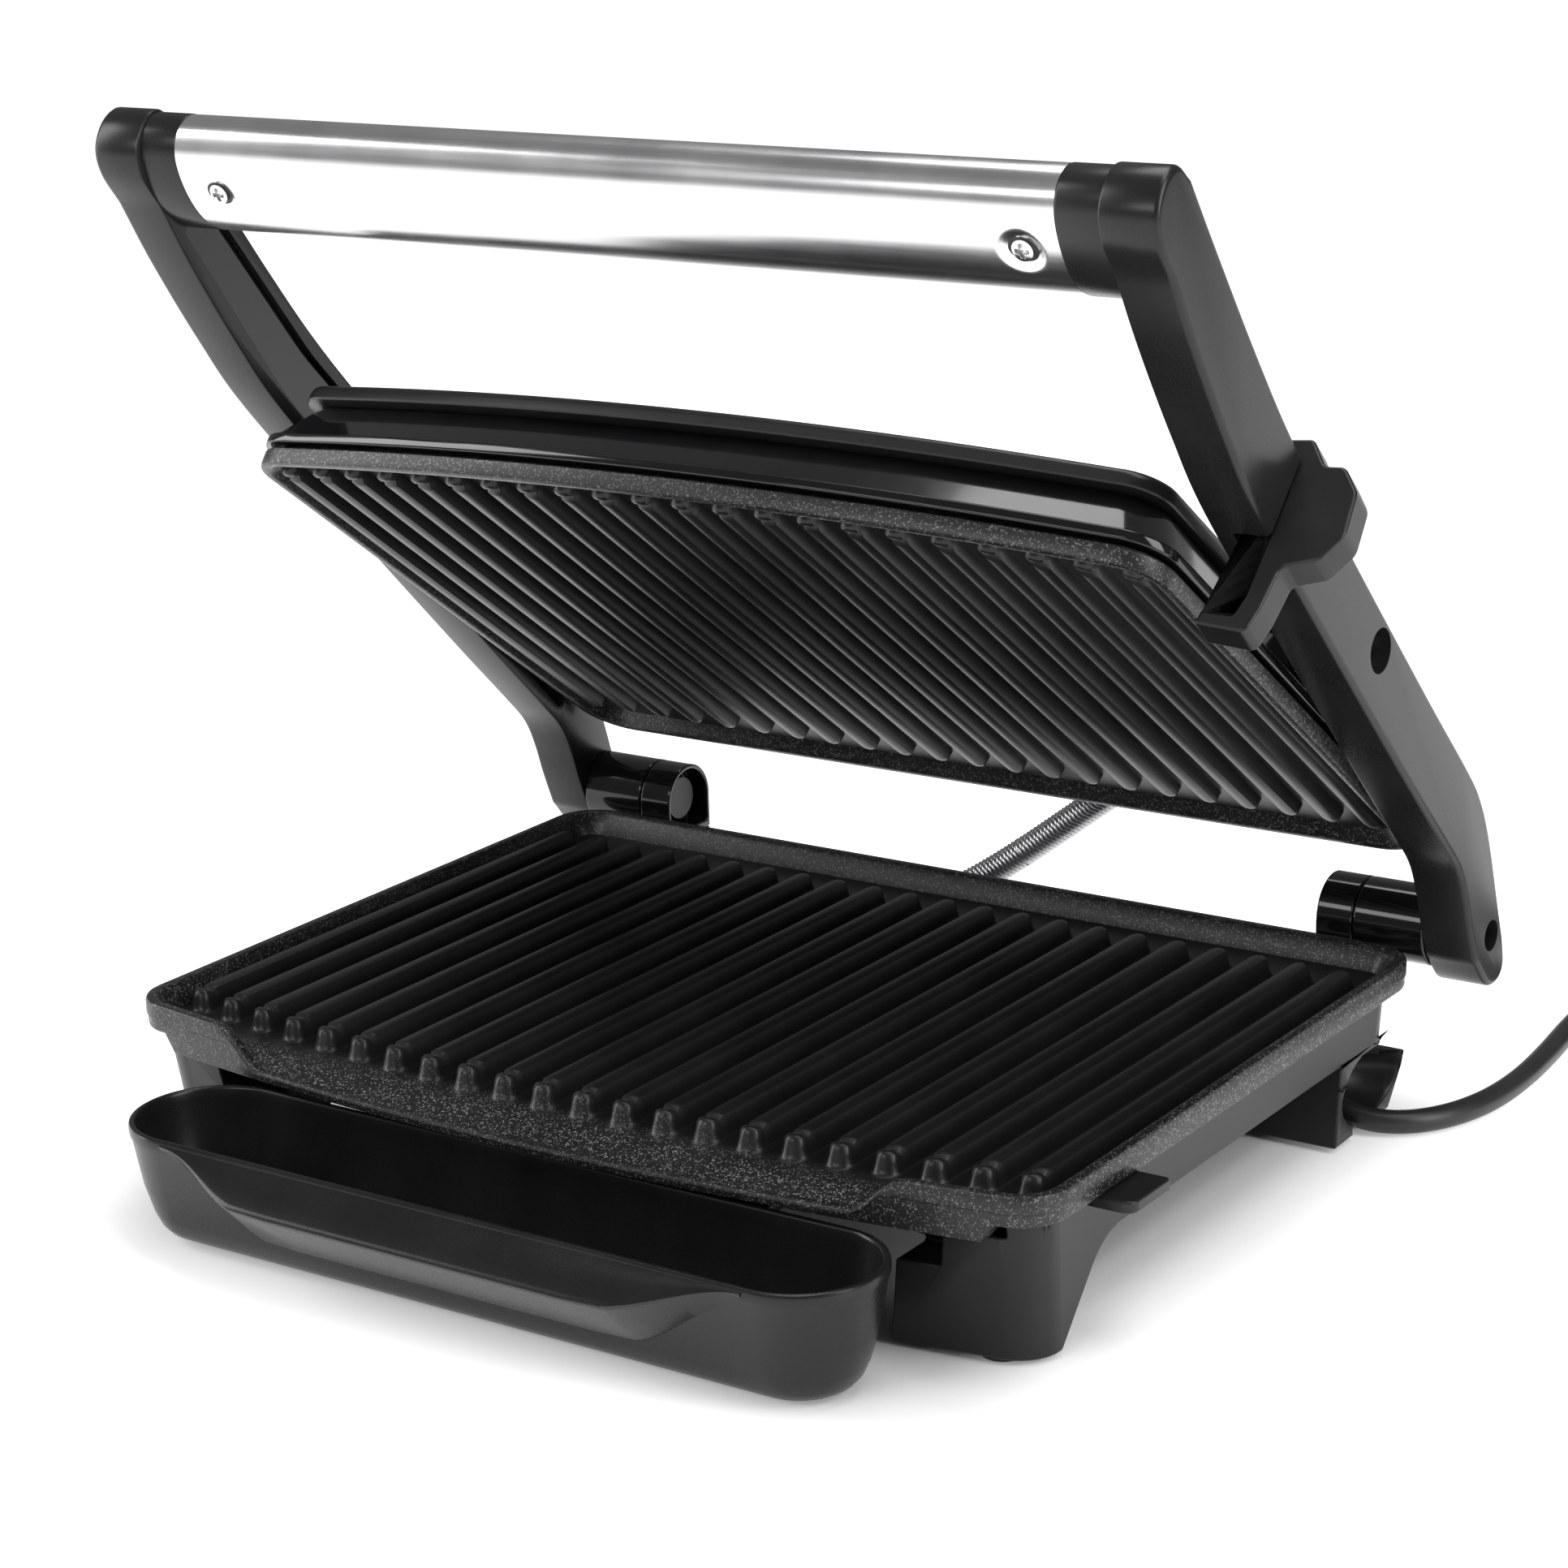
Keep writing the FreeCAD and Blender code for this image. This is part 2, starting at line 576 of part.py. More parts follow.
def armOutline():
    return [splineThrough(armLower), splineThrough(armNose), splineThrough(armUpper),
            splineThrough(armTail)]


def arm(side, label):
    inner, width = dim("armInnerX"), dim("armWidth")
    body = newBody("Arm" + label)
    sketch = drawCurves(sketchOn(body, "YZ_Plane", side * inner), armOutline())
    pad(body, sketch, cell("armWidth"), reverse=side < 0)
    # handle end: the arm grows inwards to meet the handle
    end = drawCurves(sketchOn(body, "YZ_Plane", side * dim("capInnerX")), handleOutline(0.0))
    pad(body, end, "%s - %s + 2" % (cell("armInnerX"), cell("capInnerX")), reverse=side < 0)
    # long recess on the inner side for the cover
    recess = drawCurves(sketchOn(body, "YZ_Plane", side * inner), coverOutline(0.0))
    pocket(body, recess, "6", reverse=side > 0)
    hole = drawCurves(sketchOn(body, "YZ_Plane", side * inner), [
        Part.Circle(V(dim("hingeY"), dim("hingeZ"), 0), V(0, 0, 1), dim("pinRadius")),
        Part.Circle(V(dim("floatY"), dim("floatZ"), 0), V(0, 0, 1), dim("floatRadius"))])
    pocket(body, hole, "8", reverse=side > 0)
    screwHoles = drawCurves(sketchOn(body, "YZ_Plane", side * (inner + width)), [
        Part.Circle(V(dim("hingeY"), dim("hingeZ"), 0), V(0, 0, 1), 4.6),
        Part.Circle(V(dim("floatY"), dim("floatZ"), 0), V(0, 0, 1), 6.2)])
    pocket(body, screwHoles, "8", reverse=side < 0)
    if side > 0:
        seat = drawCurves(sketchOn(body, "XZ_Plane", -dim("latchFrontY") + 1.0), polyline(
            [(inner + 5.5, 50.0), (inner + 40.0, 50.0), (inner + 40.0, 92.0), (inner + 5.5, 92.0)]))
        pocket(body, seat, "%s + 2" % cell("latchThick"))
    return keep(body, label, armPose)


def coverOutline(clear):
    return roundedOutline([(84.0 - clear, 61.0 + clear), (84.0 - clear, 76.0 - clear),
                           (-88.0, 80.5 - clear), (-150.0 + clear, 89.0 - clear),
                           (-154.0 + clear, 76.5 + clear), (-88.0, 64.5 + clear)],
                          [3.0, 4.0, 6.0, 2.0, 2.0, 20.0])


def armCover(side, label):
    """Glossy strip let into the inner side of an arm."""
    body = newBody("Cover" + label)
    sketch = drawCurves(sketchOn(body, "YZ_Plane", side * (dim("armInnerX") + 6.0)), coverOutline(0.3))
    pad(body, sketch, "4", reverse=side > 0)
    hole = drawCurves(sketchOn(body, "YZ_Plane", side * (dim("armInnerX") + 6.0)), [
        Part.Circle(V(dim("floatY"), dim("floatZ"), 0), V(0, 0, 1), 6.5)])
    pocket(body, hole, "5", reverse=side < 0)
    return keep(body, label, armPose)


def handleOutline(inset):
    """Flattened oval of the handle, nose down and forward."""
    centre = V(-166.5, 87.2, 0)
    ring = [(-184.2, 89.0), (-181.8, 96.2), (-173.5, 98.2), (-161.0, 95.8), (-151.5, 91.4),
            (-148.5, 85.2), (-152.0, 79.2), (-161.0, 76.3), (-171.5, 77.8), (-180.6, 82.4)]
    points = []
    for y, z in ring:
        spoke = V(y, z, 0) - centre
        points.append(centre + spoke * (1 - inset / spoke.Length))
    curve = Part.BSplineCurve()
    curve.interpolate(points, True)
    return [curve]


def handleSleeve():
    body = newBody("Sleeve")
    start = dim("capInnerX")
    sketch = drawCurves(sketchOn(body, "YZ_Plane", -start), handleOutline(0.15))
    pad(body, sketch, "2 * %s" % cell("capInnerX"))
    bore = drawCurves(sketchOn(body, "YZ_Plane", -start), handleOutline(1.35))
    pocket(body, bore, "2 * %s" % cell("capInnerX"), reverse=True)
    return keep(body, "handle_sleeve", armPose)


def handleCore():
    body = newBody("Core")
    start = dim("capInnerX")
    sketch = drawCurves(sketchOn(body, "YZ_Plane", -start), handleOutline(1.4))
    pad(body, sketch, "2 * %s" % cell("capInnerX"))
    return keep(body, "handle_core", armPose)


def handleScrews():
    """Two screws set into the underside of the handle."""
    screws = []
    slant = FreeCAD.Rotation(V(1, 0, 0), 150)
    for i, x in enumerate((-126.0, 126.0)):
        screws.append(primitive("Cylinder", "HandleScrew%d" % i, (x, -170.2, 79.3), slant,
                                Radius="3.2", Height="2.0"))
    return keep(fuse("HandleScrews", screws), "handle_screws", armPose)


def hingeCollar(side, label):
    """Short tube on the arm that turns against the bracket."""
    y, z = dim("hingeY"), dim("hingeZ")
    body = newBody("Collar" + label)
    start = dim("seamX") + 0.3
    sketch = drawCurves(sketchOn(body, "YZ_Plane", side * start), [
        Part.Circle(V(y, z, 0), V(0, 0, 1), dim("bossRadius")),
        Part.Circle(V(y, z, 0), V(0, 0, 1), dim("pinRadius") + dim("runningFit"))])
    pad(body, sketch, "%s - %s - 0.3" % (cell("armInnerX"), cell("seamX")), reverse=side < 0)
    return keep(body, label, armPose)


def floatPivot(side, label):
    """Headed stud through the arm into the side of the lid."""
    y, z, inner = dim("floatY"), dim("floatZ"), dim("armInnerX")
    shaftX = inner - 14.0 if side > 0 else -inner - 8.0
    shaft = primitive("Cylinder", "Stud" + label, (shaftX, y, z), alongX,
                      Radius=cell("floatRadius"), Height="22")
    headX = inner + 8.0 if side > 0 else -inner - 10.5
    head = primitive("Cylinder", "StudHead" + label, (headX, y, z), alongX, Radius="5.6", Height="2.5")
    return keep(fuse("Pivot" + label, [shaft, head]), label, armPose)


def latchPin():
    x, z = dim("latchPivotX"), dim("latchPivotZ")
    pin = primitive("Cylinder", "LatchPinShaft", (x, dim("latchFrontY") - 5.0, z), alongY,
                    Radius="2", Height="%s + 10" % cell("latchThick"))
    return keep(pin, "latch_pin", armPose)


def latch():
    """Flat swinging hook with a thumb tab; its foot catches under the shelf of the base."""
    body = newBody("Latch")
    x, z = dim("latchPivotX"), dim("latchPivotZ")
    front = sketchOn(body, "XZ_Plane", -dim("latchFrontY"))
    corners = [(153.2, 34.2), (167.4, 33.4), (169.2, 41.0), (170.4, 52.6), (179.6, 55.8),
               (184.0, 63.5), (183.0, 76.0), (177.4, 83.0), (172.0, 82.6), (166.4, 90.0),
               (159.2, 89.2), (158.6, 66.0), (163.4, 58.0), (163.8, 44.0), (162.4, 38.1),
               (153.8, 38.1)]
    radii = [0.8, 2.5, 6.0, 3.0, 4.0, 6.0, 5.0, 3.0, 2.5, 2.0, 1.5, 4.0, 2.5, 4.0, 0.8, 0.6]
    drawCurves(front, roundedOutline(corners, radii))
    pad(body, front, cell("latchThick"), reverse=True)
    hole = drawCurves(sketchOn(body, "XZ_Plane", -dim("latchFrontY")),
                      [Part.Circle(V(x, z, 0), V(0, 0, 1), 2.0 + dim("runningFit"))])
    pocket(body, hole, "%s + 2" % cell("latchThick"), reverse=False)
    return keep(body, "latch", armPose)


# --- lid (drawn shut) -------------------------------------------------------------------------

def lidLevel(height):
    """Height above the face of the upper plate, as a height above the table."""
    return dim("rimZ") + dim("closedGap") + height


def upperGrillPlate():
    half, backY = dim("lidHalf"), dim("lidBackY")
    frontY = backY - dim("lidDepth")
    body = newBody("UpperPlate")
    outline = drawCurves(sketchOn(body, "XY_Plane", lidLevel(0)),
                         bowedOutline(half, backY, frontY, dim("plateCorner")))
    pad(body, outline, cell("lidRimHeight"))
    block = drawCurves(sketchOn(body, "XY_Plane", lidLevel(1)),
                       bowedOutline(half - 6.0, backY - 6.0, frontY + 6.0, 10.0))
    pad(body, block, "9.5")
    leaning(body, [
        (lidLevel(-0.5), bowedOutline(half - 3.0, backY - 3.0, frontY + 3.0, 11.5)),
        (lidLevel(dim("floorDrop")), bowedOutline(half - 9.0, backY - 12.0, frontY + 8.0, 8.0))],
        cutting=True)
    ribs = drawCurves(sketchOn(body, "XY_Plane", lidLevel(dim("floorDrop") + 0.5)),
                      ribOutlines(backY - 16.5, frontY + 7.0))
    pad(body, ribs, "%s - %s + 0.5" % (cell("floorDrop"), cell("ribTopGap")), reverse=True)
    return keep(body, "upper_grill_plate", lidPose)


def upperHousing():
    """Glossy shell over the upper plate: a flange, leaning walls and a flat deck."""
    half, backY = dim("lidHalf"), dim("lidBackY")
    frontY = backY - dim("lidDepth")
    body = newBody("Shell")
    flangeZ = lidLevel(dim("lidGapTop"))
    flange = drawCurves(sketchOn(body, "XY_Plane", flangeZ),
                        bowedOutline(half + 0.6, backY, frontY - 0.6, dim("plateCorner")))
    pad(body, flange, cell("flangeHeight"))
    wallFoot = flangeZ + dim("flangeHeight")
    deck = lidLevel(dim("panelBottom"))
    leaning(body, [
        (wallFoot, bowedOutline(half - 0.8, backY - 0.8, frontY + 0.6, 13.0)),
        (deck, bowedOutline(half - 8.5, backY - 6.0, frontY + 8.5, 12.0))])
    leaning(body, [
        (flangeZ - 0.5, bowedOutline(half - 3.6, backY - 3.6, frontY + 3.6, 10.5)),
        (wallFoot, bowedOutline(half - 4.2, backY - 4.2, frontY + 4.2, 10.5)),
        (deck - 3.0, bowedOutline(half - 10.0, backY - 8.0, frontY + 10.5, 9.0))], cutting=True)
    # cheeks that take the pivots
    for side in (-1, 1):
        cheek = drawCurves(sketchOn(body, "YZ_Plane", side * 131.5), cheekOutline(5.5))
        pad(body, cheek, "15.5", reverse=side < 0)
    bores = drawCurves(sketchOn(body, "YZ_Plane", -half - 5.0), [
        Part.Circle(V(dim("floatY"), dim("floatZ"), 0), V(0, 0, 1),
                    dim("floatRadius") + dim("runningFit"))])
    pocket(body, bores, "2 * %s + 10" % cell("lidHalf"), reverse=True)
    # columns for the screws that hold the plate, countersunk in the deck
    columns = drawCurves(sketchOn(body, "XY_Plane", deck - 2.5), circlesAt(lidScrewSpots, 5.0))
    pad(body, columns, "9", reverse=True)
    holes = drawCurves(sketchOn(body, "XY_Plane", deck), circlesAt(lidScrewSpots, 2.05))
    pocket(body, holes, "15")
    sinks = drawCurves(sketchOn(body, "XY_Plane", deck), circlesAt(lidScrewSpots, 4.2))
    pocket(body, sinks, "2.1")
    return keep(body, "upper_housing", lidPose)


lidScrewSpots = [(x, y) for x in (-124.0, 124.0) for y in (-70.0, 60.0)]


def cheekOutline(radius):
    """Tombstone around the pivot, flat at the bottom."""
    y, z, foot = dim("floatY"), dim("floatZ"), lidLevel(10.8)
    return [
        Part.Arc(V(y + radius, z, 0), V(y, z + radius, 0), V(y - radius, z, 0)),
        Part.LineSegment(V(y - radius, z, 0), V(y - radius, foot, 0)),
        Part.LineSegment(V(y - radius, foot, 0), V(y + radius, foot, 0)),
        Part.LineSegment(V(y + radius, foot, 0), V(y + radius, z, 0)),
    ]


def lidScrews():
    deck = lidLevel(dim("panelBottom"))
    piece = screwsAlongZ("LidScrews", deck - 2.1, 2.0, lidLevel(9.0), lidScrewSpots)
    return keep(piece, "lid_screws", lidPose)


def topPanel():
    """Separate cover plate on top of the lid, its front edge bowed like the plate's."""
    backY, frontY = dim("lidBackY") - 14.0, dim("lidBackY") - dim("lidDepth") + 4.0
    base = lidLevel(dim("panelBottom")) + 0.05
    body = newBody("Panel")
    sketch = drawCurves(sketchOn(body, "XY_Plane", base), bowedOutline(140.0, backY, frontY, 12.0))
    pad(body, sketch, cell("panelThick"))
    under = drawCurves(sketchOn(body, "XY_Plane", base),
                       bowedOutline(126.0, backY - 3.0, frontY + 3.0, 9.0))
    pocket(body, under, "3", reverse=True)
    slots = drawCurves(sketchOn(body, "XY_Plane", base),
                       boxOutline(-137.0, dim("floatY"), 14.0, 13.0)
                       + boxOutline(137.0, dim("floatY"), 14.0, 13.0))
    pocket(body, slots, "8", reverse=True)
    lenses = drawCurves(sketchOn(body, "XY_Plane", base + dim("panelThick")),
                        circlesAt([(-12.0, frontY + 40.0), (12.0, frontY + 40.0)], 4.0))
    pocket(body, lenses, "2")
    return keep(body, "top_panel", lidPose)


def indicatorLenses():
    frontY = dim("lidBackY") - dim("lidDepth") + 4.0
    z = lidLevel(dim("panelBottom") + dim("panelThick")) + 0.05 - 2.0
    lenses = [primitive("Cylinder", "Lens%d" % i, (x, frontY + 40.0, z), Radius="3.9", Height="2.6")
              for i, x in enumerate((-12.0, 12.0))]
    return keep(fuse("Lenses", lenses), "indicator_lenses", lidPose)


# --- tray -------------------------------------------------------------------------------------

def stadium(half, depth, centreY):
    """Round-ended outline, wide in X."""
    radius = depth / 2
    x = half - radius
    return [
        Part.LineSegment(V(-x, centreY - radius, 0), V(x, centreY - radius, 0)),
        Part.Arc(V(x, centreY - radius, 0), V(half, centreY, 0), V(x, centreY + radius, 0)),
        Part.LineSegment(V(x, centreY + radius, 0), V(-x, centreY + radius, 0)),
        Part.Arc(V(-x, centreY + radius, 0), V(-half, centreY, 0), V(-x, centreY - radius, 0)),
    ]


def dripTray():
    body = newBody("Tray")
    half, depth, centreY = dim("trayHalf"), dim("trayDepth"), dim("trayCentreY")
    rim, bottom = dim("trayRimZ"), dim("trayBottomZ")
    leaning(body, [
        (rim, stadium(half, depth, centreY)),
        (rim - 3.0, stadium(half, depth, centreY)),
        (bottom + 7.0, stadium(half - 5.5, depth - 8.0, centreY)),
        (bottom + 1.5, stadium(half - 8.5, depth - 13.0, centreY)),
        (bottom, stadium(half - 12.0, depth - 20.0, centreY))])
    # sloped scoop on the front that the fingers pull on
    scoop = body.newObject("PartDesign::AdditiveLoft", "TrayScoop")
    frontY = centreY - depth / 2
    scoop.Profile = scoopSection(body, -94.0, frontY, 1.0)
    scoop.Sections = [(scoopSection(body, -60.0, frontY, 12.0), [""]),
                      (scoopSection(body, 60.0, frontY, 12.0), [""]),
                      (scoopSection(body, 94.0, frontY, 1.0), [""])]
    scoop.Ruled = True
    doc.recompute()
    wall = dim("trayWall")
    leaning(body, [
        (rim + 0.5, stadium(half - wall, depth - 2 * wall, centreY)),
        (rim - 3.0, stadium(half - wall, depth - 2 * wall, centreY)),
        (bottom + 7.0, stadium(half - 5.5 - wall, depth - 8.0 - 2 * wall, centreY)),
        (bottom + wall, stadium(half - 12.0 - wall, depth - 20.0 - 2 * wall, centreY))],
        cutting=True)
    # tongue that slides between the rails under the base
    tongue = drawCurves(sketchOn(body, "XY_Plane", 26.0), polyline(
        [(-60.0, -113.5), (60.0, -113.5), (60.0, -25.0), (-60.0, -25.0)]))
    pad(body, tongue, "3", reverse=True)
    return keep(body, "drip_tray")


def scoopSection(body, x, frontY, reach):
    """Triangle against the tray's front wall."""
    section = sketchOn(body, "YZ_Plane", x)
    top = dim("trayRimZ") - 0.8
    drawCurves(section, polyline([(frontY + 1.0, top), (frontY - reach, top - 7.2 * reach / 12.0),
                                  (frontY + 5.0, top - 4.0 - 22.0 * reach / 12.0)]))
    return section


def trayRails():
    """Two angle rails under the tub that carry the tray's tongue."""
    rails = []
    for side in (-1, 1):
        x = 60.4 if side > 0 else -64.4
        rails.append(primitive("Box", "RailWall", (x, -74, 20.5), Length="4", Width="60", Height="6.5"))
        ledge = 52.0 if side > 0 else -60.4
        rails.append(primitive("Box", "RailLedge", (ledge, -74, 20.5), Length="8.4", Width="60", Height="2.2"))
    return keep(fuse("Rails", rails), "tray_rails")


# --- electrical parts --------------------------------------------------------------------------

def terminalBlock():
    base = primitive("Box", "TerminalBase", (-6, 82, 30.1), Length="40", Width="14", Height="3")
    posts = [primitive("Box", "Terminal%d" % i, (-4 + 12.5 * i, 84, 33.1), Length="9", Width="10",
                       Height="3.2") for i in range(3)]
    return keep(fuse("TerminalBlock", [base] + posts), "terminal_block")


def thermostat(name, label, y, plateZ, side, pose):
    """Small snap disc pressed against a plate; side is the way it points away from the plate."""
    case = primitive("Cylinder", name + "Case", (0, y, min(plateZ, plateZ + 1.6 * side)),
                     Radius="8", Height="1.6")
    cap = primitive("Cylinder", name + "Cap", (0, y, min(plateZ + 1.6 * side, plateZ + 2.8 * side)),
                    Radius="6", Height="1.2")
    return keep(fuse(name, [case, cap]), label, pose)


def tubeAlong(points, radius):
    """Round tube along straight runs joined by tangent arcs."""
    edges = []
    previous = points[0]
    for before, corner, after in zip(points, points[1:], points[2:]):
        back, ahead = before - corner, after - corner
        reach = 0.45 * min(back.Length, ahead.Length)
        turn = math.pi - back.getAngle(ahead)
        bend = reach / math.tan(turn / 2)
        back.normalize()
        ahead.normalize()
        start, stop = corner + back * reach, corner + ahead * reach
        middle = corner + (back + ahead).normalize() * (bend / math.cos(turn / 2) - bend)
        print("bend radius %.1f mm, turn %.0f degrees" % (bend, math.degrees(turn)))
        edges.append(Part.LineSegment(previous, start).toShape())
        edges.append(Part.Arc(start, middle, stop).toShape())
        previous = stop
    edges.append(Part.LineSegment(previous, points[-1]).toShape())
    path = Part.Wire(edges)
    ring = Part.Wire([Part.Circle(points[0], points[1] - points[0], radius).toShape()])
    tube = path.makePipeShell([ring], True, True)
    expected = math.pi * radius ** 2 * path.Length
    print("tube length %.1f mm, volume ratio %.4f" % (path.Length, tube.Volume / expected))
    return tube


# route of the mains cord: out of the right rear leg, down to the table and round to the coil
cordRoute = [V(118.0, 90.0, 10.5), V(131.0, 88.6, 7.4), V(143.0, 88.7, 4.4), V(152.5, 93.3, 3.9),
             V(159.2, 100.7, 3.9), V(164.0, 111.0, 3.9), V(167.0, 125.0, 3.9), V(167.6, 143.0, 3.9),
             V(166.0, 165.0, 3.9), V(163.2, 187.0, 3.9), V(161.4, 209.0, 3.9), V(163.0, 231.0, 3.9)]
coilCentre = V(205.0, 240.0, 0.0)

# route of the steel-wound sleeve: out of the back of the base and into the back of the raised lid
conduitRoute = [V(-20.0, 97.0, 35.6), V(-19.8, 109.0, 35.7), V(-16.5, 118.6, 37.6),
                V(-8.0, 124.8, 42.4), V(5.2, 127.6, 51.6), V(20.0, 130.1, 63.0),
                V(34.6, 132.3, 74.4), V(44.0, 132.2, 81.4), V(48.0, 127.4, 85.6)]


def powerCord():
    return keep(solidFeature("Cord", tubeAlong(cordRoute, dim("cordRadius"))), "power_cord")


def strainRelief():
    """Tapered rubber sleeve around the cord where it leaves the leg."""
    run = (cordRoute[1] - cordRoute[0]).normalize()
    start = cordRoute[0] - run * 8.0
    turn = FreeCAD.Rotation(V(0, 0, 1), run)
    sleeve = primitive("Cone", "ReliefCone", start, turn, Radius1="5.4", Radius2="4.4", Height="22")
    bore = primitive("Cylinder", "ReliefBore", cordRoute[0], turn, Radius=cell("cordRadius"), Height="20")
    return keep(cut("Relief", sleeve, bore), "strain_relief")


def cordCoil():
    """Outer shape of the coiled length: two turns side by side and one and a half on top."""
    middle, radius = dim("coilRadius"), dim("cordRadius")
    width = 2.1 * radius
    body = newBody("Coil")
    section = drawCurves(sketchOn(body, "XZ_Plane", 0.0), roundedOutline(
        [(middle - width, 0.4), (middle + width, 0.4), (middle + width, 6.5),
         (middle + 0.55 * width, 13.6), (middle - 0.55 * width, 13.6), (middle - width, 6.5)],
        [3.0, 3.0, 2.0, 3.0, 3.0, 2.0]))
    ring = body.newObject("PartDesign::Revolution", "CoilRing")
    ring.Profile = section
    ring.ReferenceAxis = (section, ["V_Axis"])
    ring.Angle = 360
    doc.recompute()
    return keep(body, "cord_coil", FreeCAD.Placement(coilCentre, FreeCAD.Rotation()))


plugBackY = 204.0


def cordTail():
    """Last short length of cord, from the top turn of the coil into the plug."""
    x = coilCentre.x + dim("coilRadius")
    tail = primitive("Cylinder", "Tail", (x, plugBackY, 10.1), alongY, Radius=cell("cordRadius"),
                     Height="18")
    return keep(tail, "cord_tail")


def plug():
    """Moulded three-pin plug lying beside the coil."""
    x = coilCentre.x + dim("coilRadius")
    body = newBody("Plug")
    back = drawCurves(sketchOn(body, "XZ_Plane", -plugBackY), [
        Part.Circle(V(x, 10.1, 0), V(0, 0, 1), 5.5)])
    grip = drawCurves(sketchOn(body, "XZ_Plane", -plugBackY + 22.0), [
        Part.Circle(V(x, 10.1, 0), V(0, 0, 1), 9.7)])
    taper = body.newObject("PartDesign::AdditiveLoft", "PlugTaper")
    taper.Profile = back
    taper.Sections = [(grip, [""])]
    doc.recompute()
    face = drawCurves(sketchOn(body, "XZ_Plane", -plugBackY + 22.0), roundedOutline(
        [(x - 12.5, 0.3), (x + 12.5, 0.3), (x + 12.5, 20.0), (x - 12.5, 20.0)], [6.0] * 4))
    pad(body, face, "14")
    keep(body, "plug_body")
    frontY = plugBackY - 22.0 - 14.0
    blades = [primitive("Box", "Blade%d" % i, (x + dx - 0.75, frontY - 17.0, 9.5), Length="1.5",
                        Width="17", Height="6.4") for i, dx in enumerate((-6.35, 6.35))]
    earth = primitive("Cylinder", "EarthPin", (x, frontY - 20.0, 4.6), alongY, Radius="2.4", Height="20")
    keep(fuse("PlugPins", blades + [earth]), "plug_pins")


def conduitSleeve():
    return keep(solidFeature("Conduit", tubeAlong(conduitRoute, dim("conduitRadius"))), "flex_conduit")


def conduitGrommets():
    """Rubber rings where the sleeve enters the base and the lid."""
    start = conduitRoute[0]
    wallY = dim("housingBackY")
    ring = primitive("Cylinder", "LowerRing", (start.x, wallY - 4.0, start.z), alongY, Radius="5.6",
                     Height="7")
    flange = primitive("Cylinder", "LowerFlange", (start.x, wallY, start.z), alongY, Radius="6.3",
                       Height="2")
    bore = primitive("Cylinder", "LowerBore", (start.x, wallY - 6.0, start.z), alongY, Radius="5.0",
                     Height="14")
    keep(cut("LowerGrommet", fuse("LowerGrommetSolid", [ring, flange]), bore), "lower_grommet")
    end = conduitRoute[-1]
    run = (end - conduitRoute[-2]).normalize()
    turn = FreeCAD.Rotation(V(0, 0, 1), run)
    cup = primitive("Cylinder", "UpperRing", end - run * 1.5, turn, Radius="6.6", Height="6")
    socket = primitive("Cylinder", "UpperBore", end - run * 4.0, turn, Radius="5.1", Height="4.3")
    keep(cut("UpperGrommet", cup, socket), "upper_grommet")


# --- build, check and write --------------------------------------------------------------------

def buildAll():
    underLower = dim("rimZ") - dim("rimSideDrop") - 2.6
    underUpper = lidLevel(10.5)
    baseHousing()
    lowerGrillPlate()
    keep(heaterLoop("LowerHeater", underLower - 3.3, 62.0, -72.0, 100.0), "lower_heating_element")
    keep(heatShield("LowerShield", 31.0, 118.0, 80.0, -84.0, True), "lower_heat_shield")
    thermostat("LowerThermostat", "lower_thermostat", 0.0, underLower, -1, basePose)
    baseScrews()
    terminalBlock()
    latchCatch()
    rubberFeet()
    trayRails()
    dripTray()
    for side, name in ((-1, "left"), (1, "right")):
        hingeBracket(side, name + "_hinge_bracket")
        hingePin(side, name + "_hinge_pin")
        arm(side, name + "_arm")
        armCover(side, name + "_arm_cover")
        hingeCollar(side, name + "_hinge_collar")
        floatPivot(side, name + "_float_pivot")
    handleSleeve()
    handleCore()
    handleScrews()
    latchPin()
    latch()
    upperHousing()
    lidScrews()
    topPanel()
    indicatorLenses()
    upperGrillPlate()
    keep(heaterLoop("UpperHeater", underUpper + 3.3, 62.0, -72.0, 100.0), "upper_heating_element",
         lidPose)
    keep(heatShield("UpperShield", lidLevel(dim("panelBottom")) - 3.05, 115.0, 80.0, -84.0, False),
         "upper_heat_shield", lidPose)
    thermostat("UpperThermostat", "upper_thermostat", 0.0, underUpper, 1, lidPose)
    powerCord()
    strainRelief()
    cordCoil()
    cordTail()
    plug()
    conduitSleeve()
    conduitGrommets()


buildAll()
doc.recompute()
for thing in doc.Objects:
    if "Invalid" in thing.State or "Error" in thing.State:
        raise RuntimeError(thing.Name + " failed: " + str(thing.State))
os.makedirs("parts", exist_ok=True)
for piece in subParts:
    shape = piece.Shape
    if shape.isNull() or not shape.isValid():
        raise RuntimeError(piece.Label + " has a bad shape")
    shape.exportStep("parts/%s.step" % piece.Label)
    box = shape.BoundBox
    print("%-24s %9.0f mm3  x %.1f..%.1f  y %.1f..%.1f  z %.1f..%.1f" % (
        piece.Label, shape.Volume, box.XMin, box.XMax, box.YMin, box.YMax, box.ZMin, box.ZMax))
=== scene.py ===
# Contact grill: ribbed plates, a floating lid, steel handle, drip tray and a spring-wound conduit.
# Shapes are drawn in millimetres in the frame of the parts. The arms and the lid are drawn shut,
# then raised.
import bpy
import bmesh
import math
import numpy as np
from mathutils import Matrix, Vector


